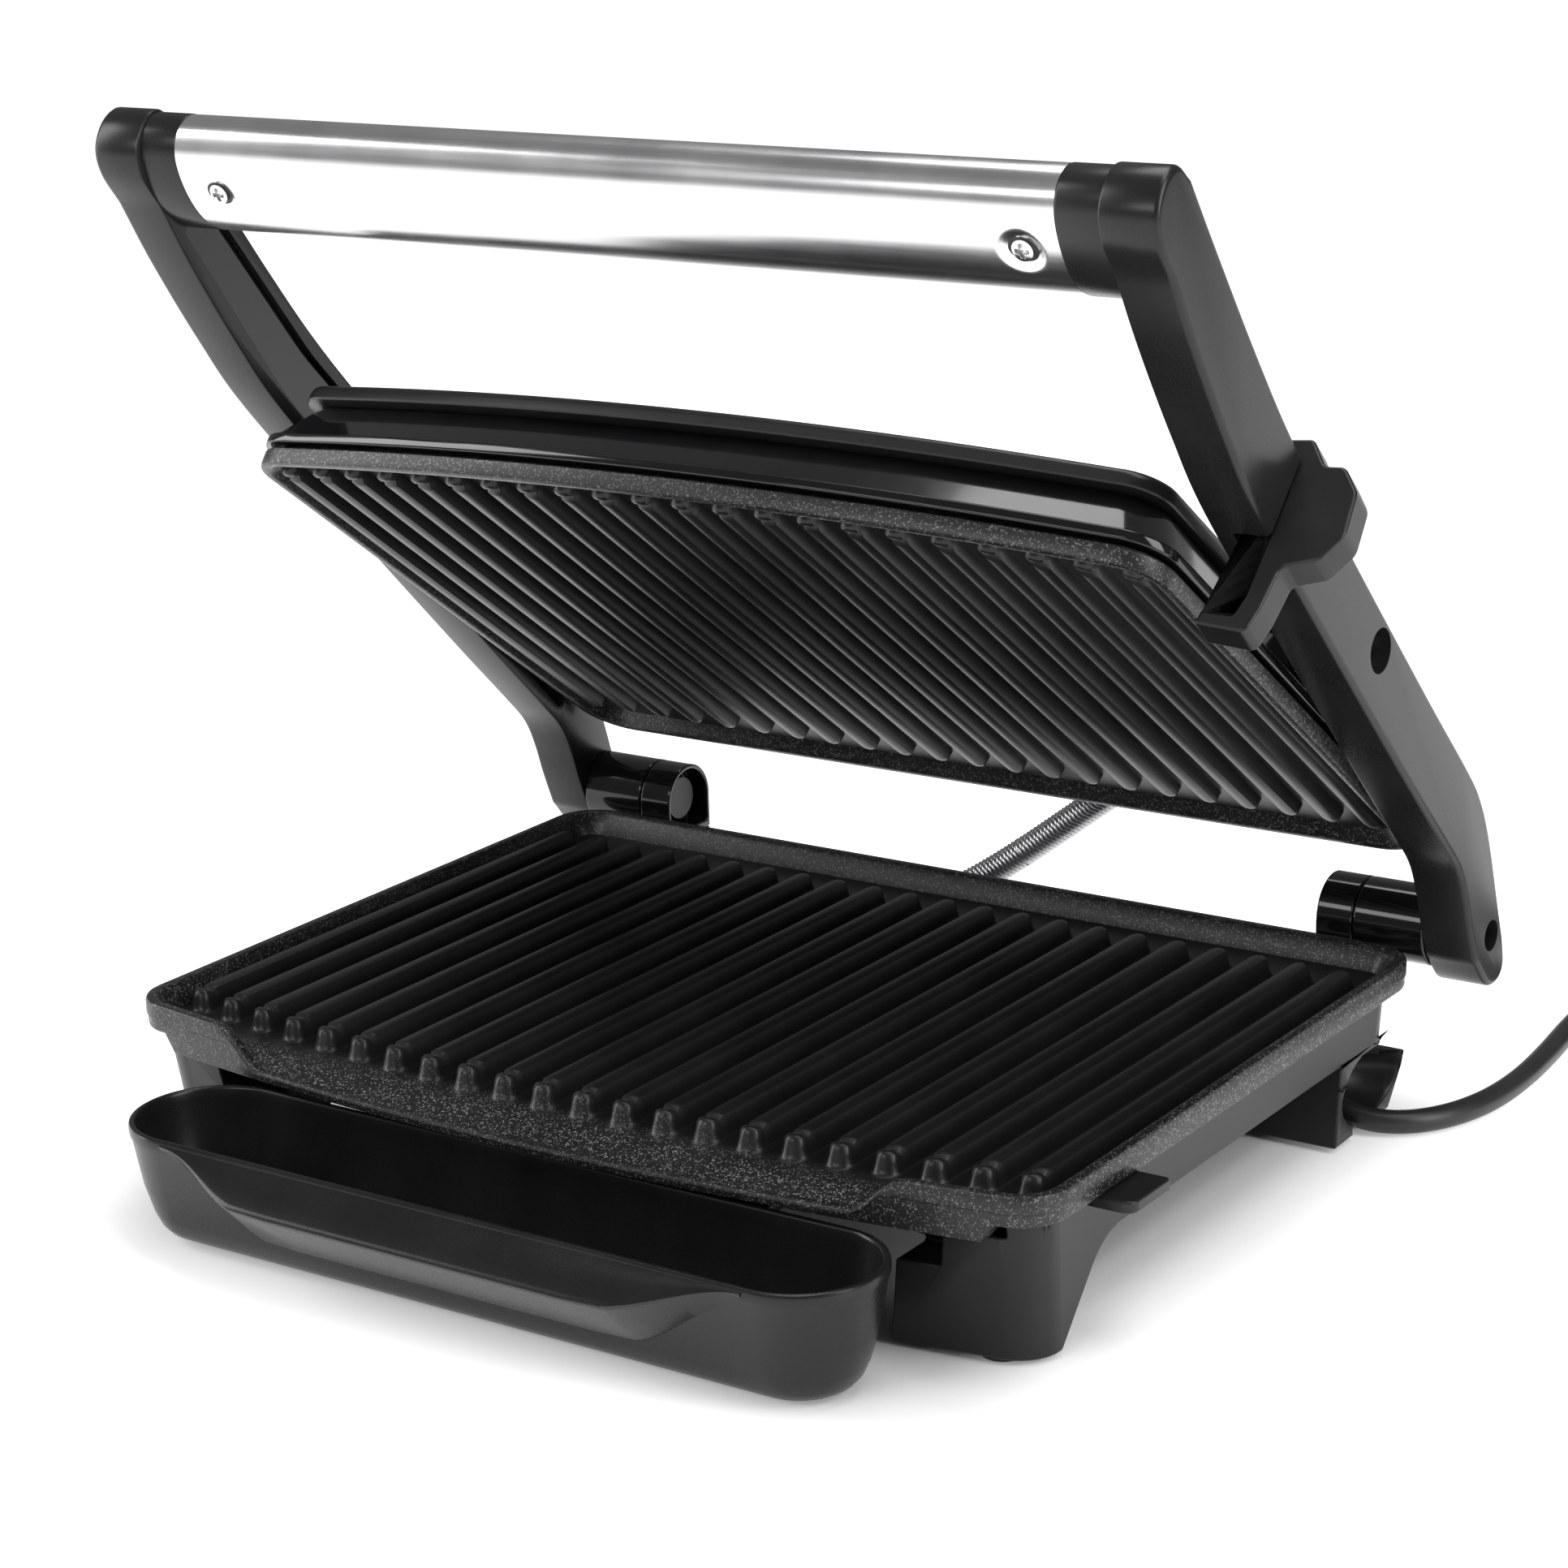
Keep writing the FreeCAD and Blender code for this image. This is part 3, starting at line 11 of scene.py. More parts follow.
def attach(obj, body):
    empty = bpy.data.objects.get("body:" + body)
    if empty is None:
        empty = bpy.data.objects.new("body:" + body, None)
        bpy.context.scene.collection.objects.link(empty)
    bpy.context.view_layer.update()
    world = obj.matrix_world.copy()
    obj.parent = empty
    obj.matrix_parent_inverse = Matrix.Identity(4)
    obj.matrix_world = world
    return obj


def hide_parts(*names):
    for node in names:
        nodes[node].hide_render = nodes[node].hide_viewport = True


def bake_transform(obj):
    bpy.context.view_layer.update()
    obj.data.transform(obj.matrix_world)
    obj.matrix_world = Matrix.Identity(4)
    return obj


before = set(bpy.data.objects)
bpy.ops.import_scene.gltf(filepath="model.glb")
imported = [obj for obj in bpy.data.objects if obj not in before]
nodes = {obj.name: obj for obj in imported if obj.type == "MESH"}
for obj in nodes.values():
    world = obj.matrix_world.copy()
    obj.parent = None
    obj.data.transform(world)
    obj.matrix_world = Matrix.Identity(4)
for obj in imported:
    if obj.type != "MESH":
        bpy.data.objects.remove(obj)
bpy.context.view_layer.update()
print("frame loaded with", len(nodes), "nodes")


def addObject(name, data):
    thing = bpy.data.objects.new(name, data)
    bpy.context.scene.collection.objects.link(thing)
    return thing


# view and light
viewPoint = {"place": (578.27, -839.74, 407.89), "azimuth": 34.31, "elevation": 16.43,
             "roll": -1.58, "lens": 87.04, "sensor": 36.0}


def addCamera(spec):
    a, e, r = (math.radians(spec[k]) for k in ("azimuth", "elevation", "roll"))
    back = Vector((math.sin(a) * math.cos(e), -math.cos(a) * math.cos(e), math.sin(e)))
    right = Vector((math.cos(a), math.sin(a), 0))
    up = right.cross(-back)
    across = math.cos(r) * right + math.sin(r) * up
    above = -math.sin(r) * right + math.cos(r) * up
    data = bpy.data.cameras.new("camera")
    data.lens, data.sensor_width = spec["lens"], spec["sensor"]
    data.clip_start, data.clip_end = 0.05, 20
    camera = addObject("camera", data)
    turn = Matrix((across, above, back)).transposed().to_4x4()
    camera.matrix_world = Matrix.Translation(Vector(spec["place"]) / 1000) @ turn
    bpy.context.scene.camera = camera


softLights = {
    "overhead": {"place": (0.1, 0.2, 1.5), "target": (0, 0, 0.1), "size": (1.6, 0.6), "power": 15},
    "left": {"place": (-1.5, -0.7, 0.75), "target": (0, 0, 0.1), "size": (0.5, 1.5), "power": 17},
    "right": {"place": (1.6, -0.1, 0.9), "target": (0, 0, 0.12), "size": (0.7, 1.4), "power": 20},
    "front": {"place": (-0.25, -1.9, 1.1), "target": (0, 0, 0.1), "size": (1.5, 0.45), "power": 12},
}


def addLights(lights):
    for name, spec in lights.items():
        data = bpy.data.lights.new(name, "AREA")
        data.shape = "RECTANGLE"
        data.size, data.size_y = spec["size"]
        data.energy = spec["power"]
        lamp = addObject(name, data)
        lamp.location = spec["place"]
        aim = Vector(spec["target"]) - Vector(spec["place"])
        lamp.rotation_euler = aim.to_track_quat("-Z", "Y").to_euler()
    world = bpy.data.worlds.new("world")
    world.use_nodes = True
    world.node_tree.nodes["Background"].inputs["Color"].default_value = (1, 1, 1, 1)
    world.node_tree.nodes["Background"].inputs["Strength"].default_value = 0.22
    bpy.context.scene.world = world
    bpy.context.scene.view_settings.view_transform = "Standard"


addCamera(viewPoint)
addLights(softLights)
print("camera and lights placed")


# finishes
class Signal:      # one socket of a node tree; + - * / on it add Math nodes
    def __init__(self, tree, socket):
        self.tree, self.socket = tree, socket

    def maths(self, operation, first, second):
        node = self.tree.nodes.new("ShaderNodeMath")
        node.operation = operation
        for i, value in enumerate((first, second)):
            if isinstance(value, Signal):
                self.tree.links.new(value.socket, node.inputs[i])
            else:
                node.inputs[i].default_value = value
        return Signal(self.tree, node.outputs[0])

    def __add__(self, other):
        return self.maths("ADD", self, other)

    def __radd__(self, other):
        return self.maths("ADD", other, self)

    def __sub__(self, other):
        return self.maths("SUBTRACT", self, other)

    def __rsub__(self, other):
        return self.maths("SUBTRACT", other, self)

    def __mul__(self, other):
        return self.maths("MULTIPLY", self, other)

    def __rmul__(self, other):
        return self.maths("MULTIPLY", other, self)

    def __truediv__(self, other):
        return self.maths("DIVIDE", self, other)

    def __rtruediv__(self, other):
        return self.maths("DIVIDE", other, self)


class Finish:      # a material being built; node() adds any node, settings first and then its inputs
    def __init__(self, name):
        self.material = bpy.data.materials.new(name)
        self.material.use_nodes = True
        self.tree = self.material.node_tree
        self.shader = self.tree.nodes["Principled BSDF"]

    def node(self, kind, settings=None, inputs=None, output=0):
        node = self.tree.nodes.new(kind)
        for key, value in (settings or {}).items():
            setattr(node, key, value)
        for key, value in (inputs or {}).items():
            self.feed(node.inputs[key], value)
        return Signal(self.tree, node.outputs[output])

    def feed(self, socket, value):
        if isinstance(value, Signal):
            self.tree.links.new(value.socket, socket)
        else:
            socket.default_value = value

    def place(self, scale):
        where = self.node("ShaderNodeTexCoord", output=3)
        return self.node("ShaderNodeMapping", {}, {"Vector": where, "Scale": scale})

    def noise(self, scale, detail=2.0):
        return self.node("ShaderNodeTexNoise", {}, {"Vector": self.place(scale), "Scale": 1.0,
                                                    "Detail": detail})

    def ramp(self, value, low, high):
        return self.node("ShaderNodeMapRange", {}, {"Value": value, "From Min": low, "From Max": high})

    def blendColours(self, factor, first, second):
        return self.node("ShaderNodeMix", {"data_type": "RGBA"},
                         {0: factor, 6: (*first, 1), 7: (*second, 1)}, output=2)


# tone: darkest and lightest colour; smudge: how far roughness drifts over a few centimetres;
# grain: size of the fine texture per metre and its depth in millimetres
finishSpecs = {
    "satin_black": dict(tone=((0.007, 0.007, 0.0075), (0.012, 0.012, 0.0125)), shine=0.28,
                        rough=0.36, smudge=0.08, grain=(2600, 0.010)),
    "tray_black": dict(tone=((0.006, 0.006, 0.0065), (0.011, 0.011, 0.0115)), shine=0.28,
                       rough=0.27, smudge=0.08, grain=(2200, 0.006)),
    "gloss_black": dict(tone=((0.0035, 0.0035, 0.004), (0.006, 0.006, 0.0065)), shine=0.35,
                        rough=0.10, smudge=0.05, grain=(160, 0.010), coat=0.15),
    "arm_black": dict(tone=((0.008, 0.008, 0.0085), (0.013, 0.013, 0.0135)), shine=0.28,
                      rough=0.28, smudge=0.08, grain=(2400, 0.008)),
    "panel_black": dict(tone=((0.008, 0.008, 0.0085), (0.014, 0.014, 0.0145)), shine=0.28,
                        rough=0.30, smudge=0.08, grain=(2400, 0.010)),
    "latch_black": dict(tone=((0.008, 0.008, 0.0085), (0.014, 0.014, 0.0145)), shine=0.28,
                        rough=0.33, smudge=0.08, grain=(2400, 0.010)),
    "plate_coating": dict(tone=((0.007, 0.007, 0.0075), (0.012, 0.012, 0.0125)), shine=0.3, rough=0.36,
                          smudge=0.10, grain=(2400, 0.012), speckle=(2600, 0.20),
                          speckleFront=(0.099, 0.107)),
    "cast_rim": dict(tone=((0.006, 0.006, 0.0065), (0.013, 0.013, 0.0135)), shine=0.38, rough=0.38,
                     smudge=0.10, grain=(1300, 0.05), speckle=(2600, 0.12)),
    "stainless": dict(tone=((0.66, 0.66, 0.67), (0.76, 0.76, 0.765)), rough=0.22, smudge=0.08,
                      grain=((30, 1800, 1800), 0.004), metal=1.0),
    "core_black": dict(tone=((0.006, 0.006, 0.006), (0.012, 0.012, 0.012)), rough=0.5, smudge=0.1,
                       grain=(1500, 0.01)),
    "bright_steel": dict(tone=((0.46, 0.46, 0.47), (0.62, 0.62, 0.63)), rough=0.2, smudge=0.12,
                         grain=(1800, 0.006), metal=1.0),
    "heater_steel": dict(tone=((0.16, 0.155, 0.15), (0.26, 0.25, 0.24)), rough=0.4, smudge=0.2,
                         grain=(900, 0.01), metal=1.0),
    "ceramic": dict(tone=((0.62, 0.60, 0.56), (0.72, 0.70, 0.66)), rough=0.55, smudge=0.1,
                    grain=(1200, 0.02)),
    "lens": dict(tone=((0.30, 0.010, 0.006), (0.42, 0.02, 0.01)), rough=0.12, smudge=0.05,
                 grain=(500, 0.01), coat=0.6),
    "foot_rubber": dict(tone=((0.010, 0.010, 0.010), (0.020, 0.020, 0.020)), rough=0.62, smudge=0.15,
                        grain=(1400, 0.03)),
    "cord_black": dict(tone=((0.008, 0.008, 0.008), (0.014, 0.014, 0.014)), rough=0.42, smudge=0.12,
                       grain=(1400, 0.02)),
    "pin_brass": dict(tone=((0.58, 0.42, 0.17), (0.70, 0.53, 0.24)), rough=0.24, smudge=0.1,
                      grain=(1200, 0.006), metal=1.0),
    "conduit_steel": dict(tone=((0.30, 0.30, 0.31), (0.46, 0.46, 0.47)), rough=0.26, smudge=0.14,
                          grain=(1500, 0.006), metal=1.0),
}


def makeFinish(name, spec):
    finish = Finish(name)
    shader = finish.shader
    drift = finish.noise((38, 38, 38), 3.0)
    size, depth = spec["grain"]
    grain = finish.noise(size if isinstance(size, tuple) else (size, size, size), 2.0)
    tone = finish.blendColours(finish.ramp(drift * 0.7 + grain * 0.3, 0.32, 0.68), *spec["tone"])
    rough = drift * spec["smudge"] + grain * 0.05 + (spec["rough"] - spec["smudge"] / 2 - 0.025)
    if "speckle" in spec:      # bright flecks set in the non-stick coating
        scale, brightness = spec["speckle"]
        flecks = finish.node("ShaderNodeTexVoronoi", {}, {"Vector": finish.place((scale, scale, scale)),
                                                          "Scale": 1.0}, output=1)
        level = finish.node("ShaderNodeSeparateColor", {}, {"Color": flecks})
        mask = finish.ramp(level, 0.80, 0.97)
        if "speckleFront" in spec:      # only the pouring lip, ahead of the ribs, is left as cast
            across = finish.node("ShaderNodeSeparateXYZ", {}, {"Vector": finish.node(
                "ShaderNodeTexCoord", output=3)}, output=1)
            mask = mask * finish.ramp(across * -1.0, *spec["speckleFront"])
        tone = finish.node("ShaderNodeMix", {"data_type": "RGBA"},
                           {0: mask, 6: tone, 7: (brightness, brightness, brightness, 1)}, output=2)
        rough = rough - mask * 0.12
    finish.feed(shader.inputs["Base Color"], tone)
    finish.feed(shader.inputs["Roughness"], rough)
    finish.feed(shader.inputs["Metallic"], spec.get("metal", 0.0))
    finish.feed(shader.inputs["Coat Weight"], spec.get("coat", 0.0))
    shader.inputs["Specular IOR Level"].default_value = spec.get("shine", 0.5)
    shader.inputs["Coat Roughness"].default_value = 0.04
    bump = finish.node("ShaderNodeBump", {}, {"Strength": 0.35, "Distance": depth / 1000,
                                              "Height": grain})
    finish.feed(shader.inputs["Normal"], bump)
    return finish.material


finishes = {name: makeFinish(name, spec) for name, spec in finishSpecs.items()}
slotNodes = {
    "satin_black": ["base_housing", "tray_rails", "latch_catch"],
    "tray_black": ["drip_tray"],
    "gloss_black": ["upper_housing", "left_hinge_bracket", "right_hinge_bracket", "left_hinge_collar",
                    "right_hinge_collar", "left_arm_cover", "right_arm_cover"],
    "arm_black": ["left_arm", "right_arm"],
    "panel_black": ["top_panel"],
    "latch_black": ["latch"],
    "plate_coating": ["lower_grill_plate", "upper_grill_plate"],
    "stainless": ["handle_sleeve"],
    "core_black": ["handle_core", "left_hinge_pin", "right_hinge_pin"],
    "bright_steel": ["handle_screws", "base_screws", "lid_screws", "left_float_pivot",
                     "right_float_pivot", "latch_pin"],
    "heater_steel": ["lower_heating_element", "upper_heating_element", "lower_heat_shield",
                     "upper_heat_shield"],
    "ceramic": ["lower_thermostat", "upper_thermostat", "terminal_block"],
    "lens": ["indicator_lenses"],
    "foot_rubber": ["rubber_feet", "lower_grommet", "upper_grommet", "strain_relief"],
    "cord_black": ["power_cord", "cord_coil", "cord_tail", "plug_body"],
    "pin_brass": ["plug_pins"],
    "conduit_steel": ["flex_conduit"],
}
slotOf = {node: slot for slot, names in slotNodes.items() for node in names}
for name, node in nodes.items():
    node.data.materials.clear()
    node.data.materials.append(finishes[slotOf[name]])
print("finishes made:", len(finishes))


# shape helpers
def turned(points, degrees, y, z):
    # rotation about the X axis through (y, z): dy' = dy cos - dz sin, dz' = dy sin + dz cos
    a = math.radians(degrees)
    points = np.asarray(points, float)
    dy, dz = points[..., 1] - y, points[..., 2] - z
    out = points.copy()
    out[..., 1] = y + dy * math.cos(a) - dz * math.sin(a)
    out[..., 2] = z + dy * math.sin(a) + dz * math.cos(a)
    return out


# the turn from shut to rest in degrees, and the (y, z) that it is about
hinge = {"angle": -44, "place": (122.0, 54.0)}
floatPivot = {"angle": 8, "place": (-4.3, 73.5)}


def atRest(points):
    return np.asarray(points, float)


def armRaised(points):
    return turned(points, hinge["angle"], *hinge["place"])


def lidRaised(points):
    return armRaised(turned(points, floatPivot["angle"], *floatPivot["place"]))


def smoothStep(value, low, high):
    # 3t^2 - 2t^3 with t clipped to 0..1
    t = np.clip((value - low) / (high - low), 0, 1)
    return t * t * (3 - 2 * t)


def loft(loops, caps=True, closed=False):
    # closed loops (n, m, 3): quads join each loop to the next; flat faces shut the ends,
    # or the last loop joins the first when closed
    loops = np.asarray(loops, float)
    n, m = loops.shape[:2]
    rows = np.arange(n if closed else n - 1)[:, None]
    cols = np.arange(m)[None, :]
    here, beside = rows * m + cols, rows * m + (cols + 1) % m
    above, over = (rows + 1) % n * m + cols, (rows + 1) % n * m + (cols + 1) % m
    faces = np.stack([here, beside, over, above], -1).reshape(-1, 4).tolist()
    if caps and not closed:
        faces.append(list(range(m))[::-1])
        faces.append(list(range((n - 1) * m, n * m)))
    return loops.reshape(-1, 3), faces


def slab(x, y, top, bottom):
    # grid (n, m) of tops over a grid of bottoms, walled all round
    n, m = x.shape
    upper, lower = np.stack([x, y, top], -1), np.stack([x, y, bottom], -1)
    index = np.arange(n * m).reshape(n, m)
    a, b, c, d = index[:-1, :-1], index[1:, :-1], index[1:, 1:], index[:-1, 1:]
    sheet = np.stack([a, b, c, d], -1).reshape(-1, 4)
    rim = np.concatenate([index[:-1, 0], index[-1, :-1], index[:0:-1, -1], index[0, :0:-1]])
    after = np.roll(rim, -1)
    wall = np.stack([rim, after, after + n * m, rim + n * m], -1)
    faces = np.concatenate([sheet, sheet[:, ::-1] + n * m, wall]).tolist()
    return np.concatenate([upper.reshape(-1, 3), lower.reshape(-1, 3)]), faces


def makePiece(name, body, shells, slot, replaced=(), pose=atRest, sharp=32):
    # one mesh from several closed shells: doubles merged, faces turned outwards, origin left at zero
    points, faces, start = [], [], 0
    for shellPoints, shellFaces in shells:
        points.append(shellPoints)
        faces += [[i + start for i in face] for face in shellFaces]
        start += len(shellPoints)
    mesh = bpy.data.meshes.new(name)
    mesh.from_pydata(pose(np.concatenate(points)) / 1000, [], faces)
    work = bmesh.new()
    work.from_mesh(mesh)
    bmesh.ops.remove_doubles(work, verts=work.verts, dist=2e-6)
    bmesh.ops.recalc_face_normals(work, faces=work.faces)
    work.to_mesh(mesh)
    work.free()
    mesh.shade_smooth()
    mesh.set_sharp_from_angle(angle=math.radians(sharp))
    mesh.materials.append(finishes[slot])
    piece = addObject(name, mesh)
    if body:
        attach(piece, body)
    if replaced:
        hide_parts(*replaced)
    return piece


def softenedCopy(name, body, node, slot, width, segments=3, angle=35, flat=1.5):
    # the part's own mesh, merged and with its hard edges rounded
    mesh = nodes[node].data.copy()
    work = bmesh.new()
    work.from_mesh(mesh)
    bmesh.ops.remove_doubles(work, verts=work.verts, dist=1e-6)
    bmesh.ops.dissolve_limit(work, angle_limit=math.radians(flat), verts=work.verts, edges=work.edges)
    work.to_mesh(mesh)
    work.free()
    mesh.materials.clear()
    mesh.materials.append(finishes[slot])
    mesh.shade_smooth()
    mesh.set_sharp_from_angle(angle=math.radians(30))
    piece = addObject(name, mesh)
    bevel = piece.modifiers.new("edges", "BEVEL")
    bevel.width, bevel.segments = width / 1000, segments
    bevel.limit_method, bevel.angle_limit = "ANGLE", math.radians(angle)
    bevel.use_clamp_overlap = False
    bevel.harden_normals = True
    bevel.miter_outer = "MITER_ARC"
    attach(piece, body)
    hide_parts(node)
    return piece


def arc(centreX, centreY, radius, start, stop, steps):
    # points on a circle between two angles in degrees
    a = np.radians(np.linspace(start, stop, steps))
    return np.stack([centreX + radius * np.cos(a), centreY + radius * np.sin(a)], -1)


bow = 1712.0      # the bowed fronts follow y = front + x^2 / bow


def bowedLoop(half, back, front, corner, z, notch=None):
    # straight back and sides, bowed front, four quarter-circle corners; anticlockwise from above
    reach = half - corner
    x = np.linspace(-reach, reach, 73)
    frontRun = np.stack([x, front + x * x / bow], -1)
    cornerY = front + reach * reach / bow + corner
    sideY = np.linspace(cornerY, back - corner, 13)[1:-1]
    side = np.stack([np.full_like(sideY, half), sideY], -1)
    if notch:      # a step inwards in each side, of a given depth between two places along it
        depth, low, high = notch
        before, after = side[side[:, 1] < low], side[side[:, 1] > high]
        step = np.array([[half, low], [half - depth, low], [half - depth, high], [half, high]])
        side = np.concatenate([before, step, after])
    backX = np.linspace(reach, -reach, 25)[1:-1]
    flat = np.concatenate([
        frontRun, arc(reach, cornerY, corner, -90, 0, 9)[1:], side,
        arc(reach, back - corner, corner, 0, 90, 9),
        np.stack([backX, np.full_like(backX, back)], -1),
        arc(-reach, back - corner, corner, 90, 180, 9), side[::-1] * (-1, 1),
        arc(-reach, cornerY, corner, 180, 270, 9)[:-1]])
    return np.column_stack([flat, np.broadcast_to(z, len(flat))])


def roundedRun(low, high, edge, steps=4):
    # (inset, z) pairs of a wall from low to high with both edges rounded
    a = np.radians(np.linspace(0, 90, steps + 1))
    foot = np.stack([edge * (1 - np.sin(a)), low + edge * (1 - np.cos(a))], -1)
    head = np.stack([edge * (1 - np.cos(a)), high - edge * (1 - np.sin(a))], -1)
    return np.concatenate([foot, head])


# mains cord
mainsCord = {
    "route": [(118, 90, 10.5), (131, 88.6, 7.4), (143, 88.7, 4.4), (152.5, 93.3, 3.9),
              (159.2, 100.7, 3.9), (164, 111, 3.9), (167, 125, 3.9), (167.6, 143, 3.9),
              (166, 165, 3.9), (163.2, 187, 3.9), (161.4, 209, 3.9)],
    "centre": (205, 240), "tail": [(243.5, 226, 10.1), (243.5, 214, 10.1), (243.5, 204, 10.1)],
    "diameter": 7.0}


def cordPoints(spec):
    # the coil: angle runs clockwise from above, radius and height step smoothly from turn to turn
    turns = np.arange(180.0, 180.0 - 3.5 * 360 - 1, -22.5)
    wound = (180.0 - turns) / 360
    radius = np.interp(wound, [0, 0.8, 1.0, 1.8, 2.0, 2.3, 3.5],
                       [42.3, 42.3, 34.9, 34.9, 36.0, 38.5, 38.5])
    height = np.interp(wound, [0, 1.75, 2.1, 3.5], [3.9, 3.9, 10.1, 10.1])
    a = np.radians(turns)
    coil = np.stack([spec["centre"][0] + radius * np.cos(a), spec["centre"][1] + radius * np.sin(a),
                     height], -1)
    return np.concatenate([spec["route"], coil, spec["tail"]])


def addCord(spec):
    points = cordPoints(spec) / 1000
    curve = bpy.data.curves.new("mains_cord", "CURVE")
    curve.dimensions = "3D"
    spline = curve.splines.new("NURBS")
    spline.points.add(len(points) - 1)
    spline.points.foreach_set("co", np.column_stack([points, np.ones(len(points))]).ravel())
    spline.order_u = 3
    spline.use_endpoint_u = True
    spline.resolution_u = 8
    curve.bevel_depth = spec["diameter"] / 2000
    curve.bevel_resolution = 5
    curve.use_fill_caps = True
    curve.materials.append(finishes["cord_black"])
    cord = addObject("mains_cord", curve)
    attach(cord, "base")
    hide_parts("power_cord", "cord_coil", "cord_tail")
    bare = curve.copy()
    bare.bevel_depth = 0
    bare.use_fill_caps = False
    line = bpy.data.objects.new("line", bare)
    path = bpy.data.meshes.new_from_object(line)
    bpy.data.objects.remove(line)
    return cord


addCord(mainsCord)


# grill plates
ribs = {"count": 22, "pitch": 13.06, "rise": 6.1, "half": 3.3, "floor": 44.0}
lowerPlate = {"half": 150.0, "back": 110.0, "front": -118.0, "corner": 14.0, "rim": 50.5,
              "sideFoot": 42.0, "skirtFoot": 37.0, "skirtHalf": 136.0, "ribBack": 86.5,
              "ribFront": -103.0, "lipTop": 112.0, "lipFoot": 97.0}
upperPlate = {"half": 146.5, "back": 101.1, "front": -112.4, "corner": 14.0, "rim": 50.5,
              "sideFoot": 45.0, "ribBack": 84.6, "ribFront": -105.4}


def lipShare(x, spec):
    # 0 over the pouring lip, 1 where the wall stands at its full height
    if "lipTop" not in spec:
        return np.ones_like(x)
    return smoothStep(np.abs(x), spec["lipFoot"], spec["lipTop"])


def ribbedFloor(spec):
    # height = floor + rise * profile(distance from the rib's centre line); the ribs are rounded in
    # plan at both ends, and the floor falls away in front of them to either side of the lip
    half, corner = spec["half"] - 1.5, spec["corner"] - 1.5
    back, front = spec["back"] - 1.5, spec["front"] + 1.5
    steps = np.array([-6.53, -5.2, -4.5, -4.0, -3.6, -3.2, -2.8, -2.3, -1.2, 0, 1.2, 2.3, 2.8, 3.2, 3.6,
                      4.0, 4.5, 5.2])
    centres = (np.arange(ribs["count"]) - (ribs["count"] - 1) / 2) * ribs["pitch"]
    x = (centres[:, None] + steps).ravel()
    edge = np.linspace(centres[-1] + 6.53, half, 6)
    x = np.unique(np.round(np.concatenate([x[np.abs(x) < half], edge, -edge]), 3))
    tip, heel = spec["ribFront"], spec["ribBack"]
    ahead = np.concatenate([[front, front + 1.6, -113.6, -111.0, -108.5, -106.6], tip + np.array(
        [-1.6, -1, -0.4, 0, 0.4, 0.8, 1.3, 1.9, 2.6, 3.4, 4.2, 5.2, 6.5, 8, 10, 14])])
    ahead = np.sort(ahead)
    middle = np.linspace(tip + 22, heel - 12, 9)
    behind = heel + np.array([-6, -4.2, -3.4, -2.6, -1.9, -1.3, -0.8, -0.4, 0, 0.4, 1, 1.8])
    behind = np.concatenate([behind, np.linspace(heel + 4, back, 5)])
    y0 = np.concatenate([ahead, middle, behind])
    share = np.clip((heel - 14 - y0) / (heel - 14 - tip - 16), 0, 1)
    xx, yy = np.meshgrid(x, y0, indexing="ij")
    yy = yy + share[None, :] * xx ** 2 / bow
    over = np.clip(np.abs(xx) - (half - corner), 0, corner)
    bend = corner - np.sqrt(corner ** 2 - over ** 2)
    reach = (half - corner) ** 2 / bow
    frontEdge = front + np.where(over > 0, reach, xx ** 2 / bow) + bend
    yy = np.clip(yy, frontEdge, back - bend)
    nearest = np.abs((xx - ribs["pitch"] / 2 + ribs["pitch"] * 50) % ribs["pitch"])
    nearest = np.minimum(nearest, ribs["pitch"] - nearest)
    tipY = tip + xx ** 2 / bow + ribs["half"]
    end = np.maximum(np.maximum(tipY - yy, yy - (heel - ribs["half"])), 0)
    away = np.hypot(nearest, end)
    height = np.interp(away, [0, 1.2, 2.2, 2.7, 3.1, 3.5, 4.0, 4.6],
                       [1, 0.995, 0.95, 0.85, 0.5, 0.16, 0.04, 0])
    height = height * (1 - 0.2 * np.exp(-((yy - tipY - 1.6) / 0.8) ** 2))      # crease behind each nose
    fall = smoothStep(-yy, 97.0, 121.0) * 4.6 * (1 - lipShare(xx, spec)) if "lipTop" in spec else 0
    top = ribs["floor"] + ribs["rise"] * height - fall
    bottom = np.full_like(top, spec["sideFoot"] - 0.2) - (1.6 if "lipTop" in spec else 0) * (fall > 0)
    return slab(xx, yy, top, np.minimum(bottom, top - 1.2))


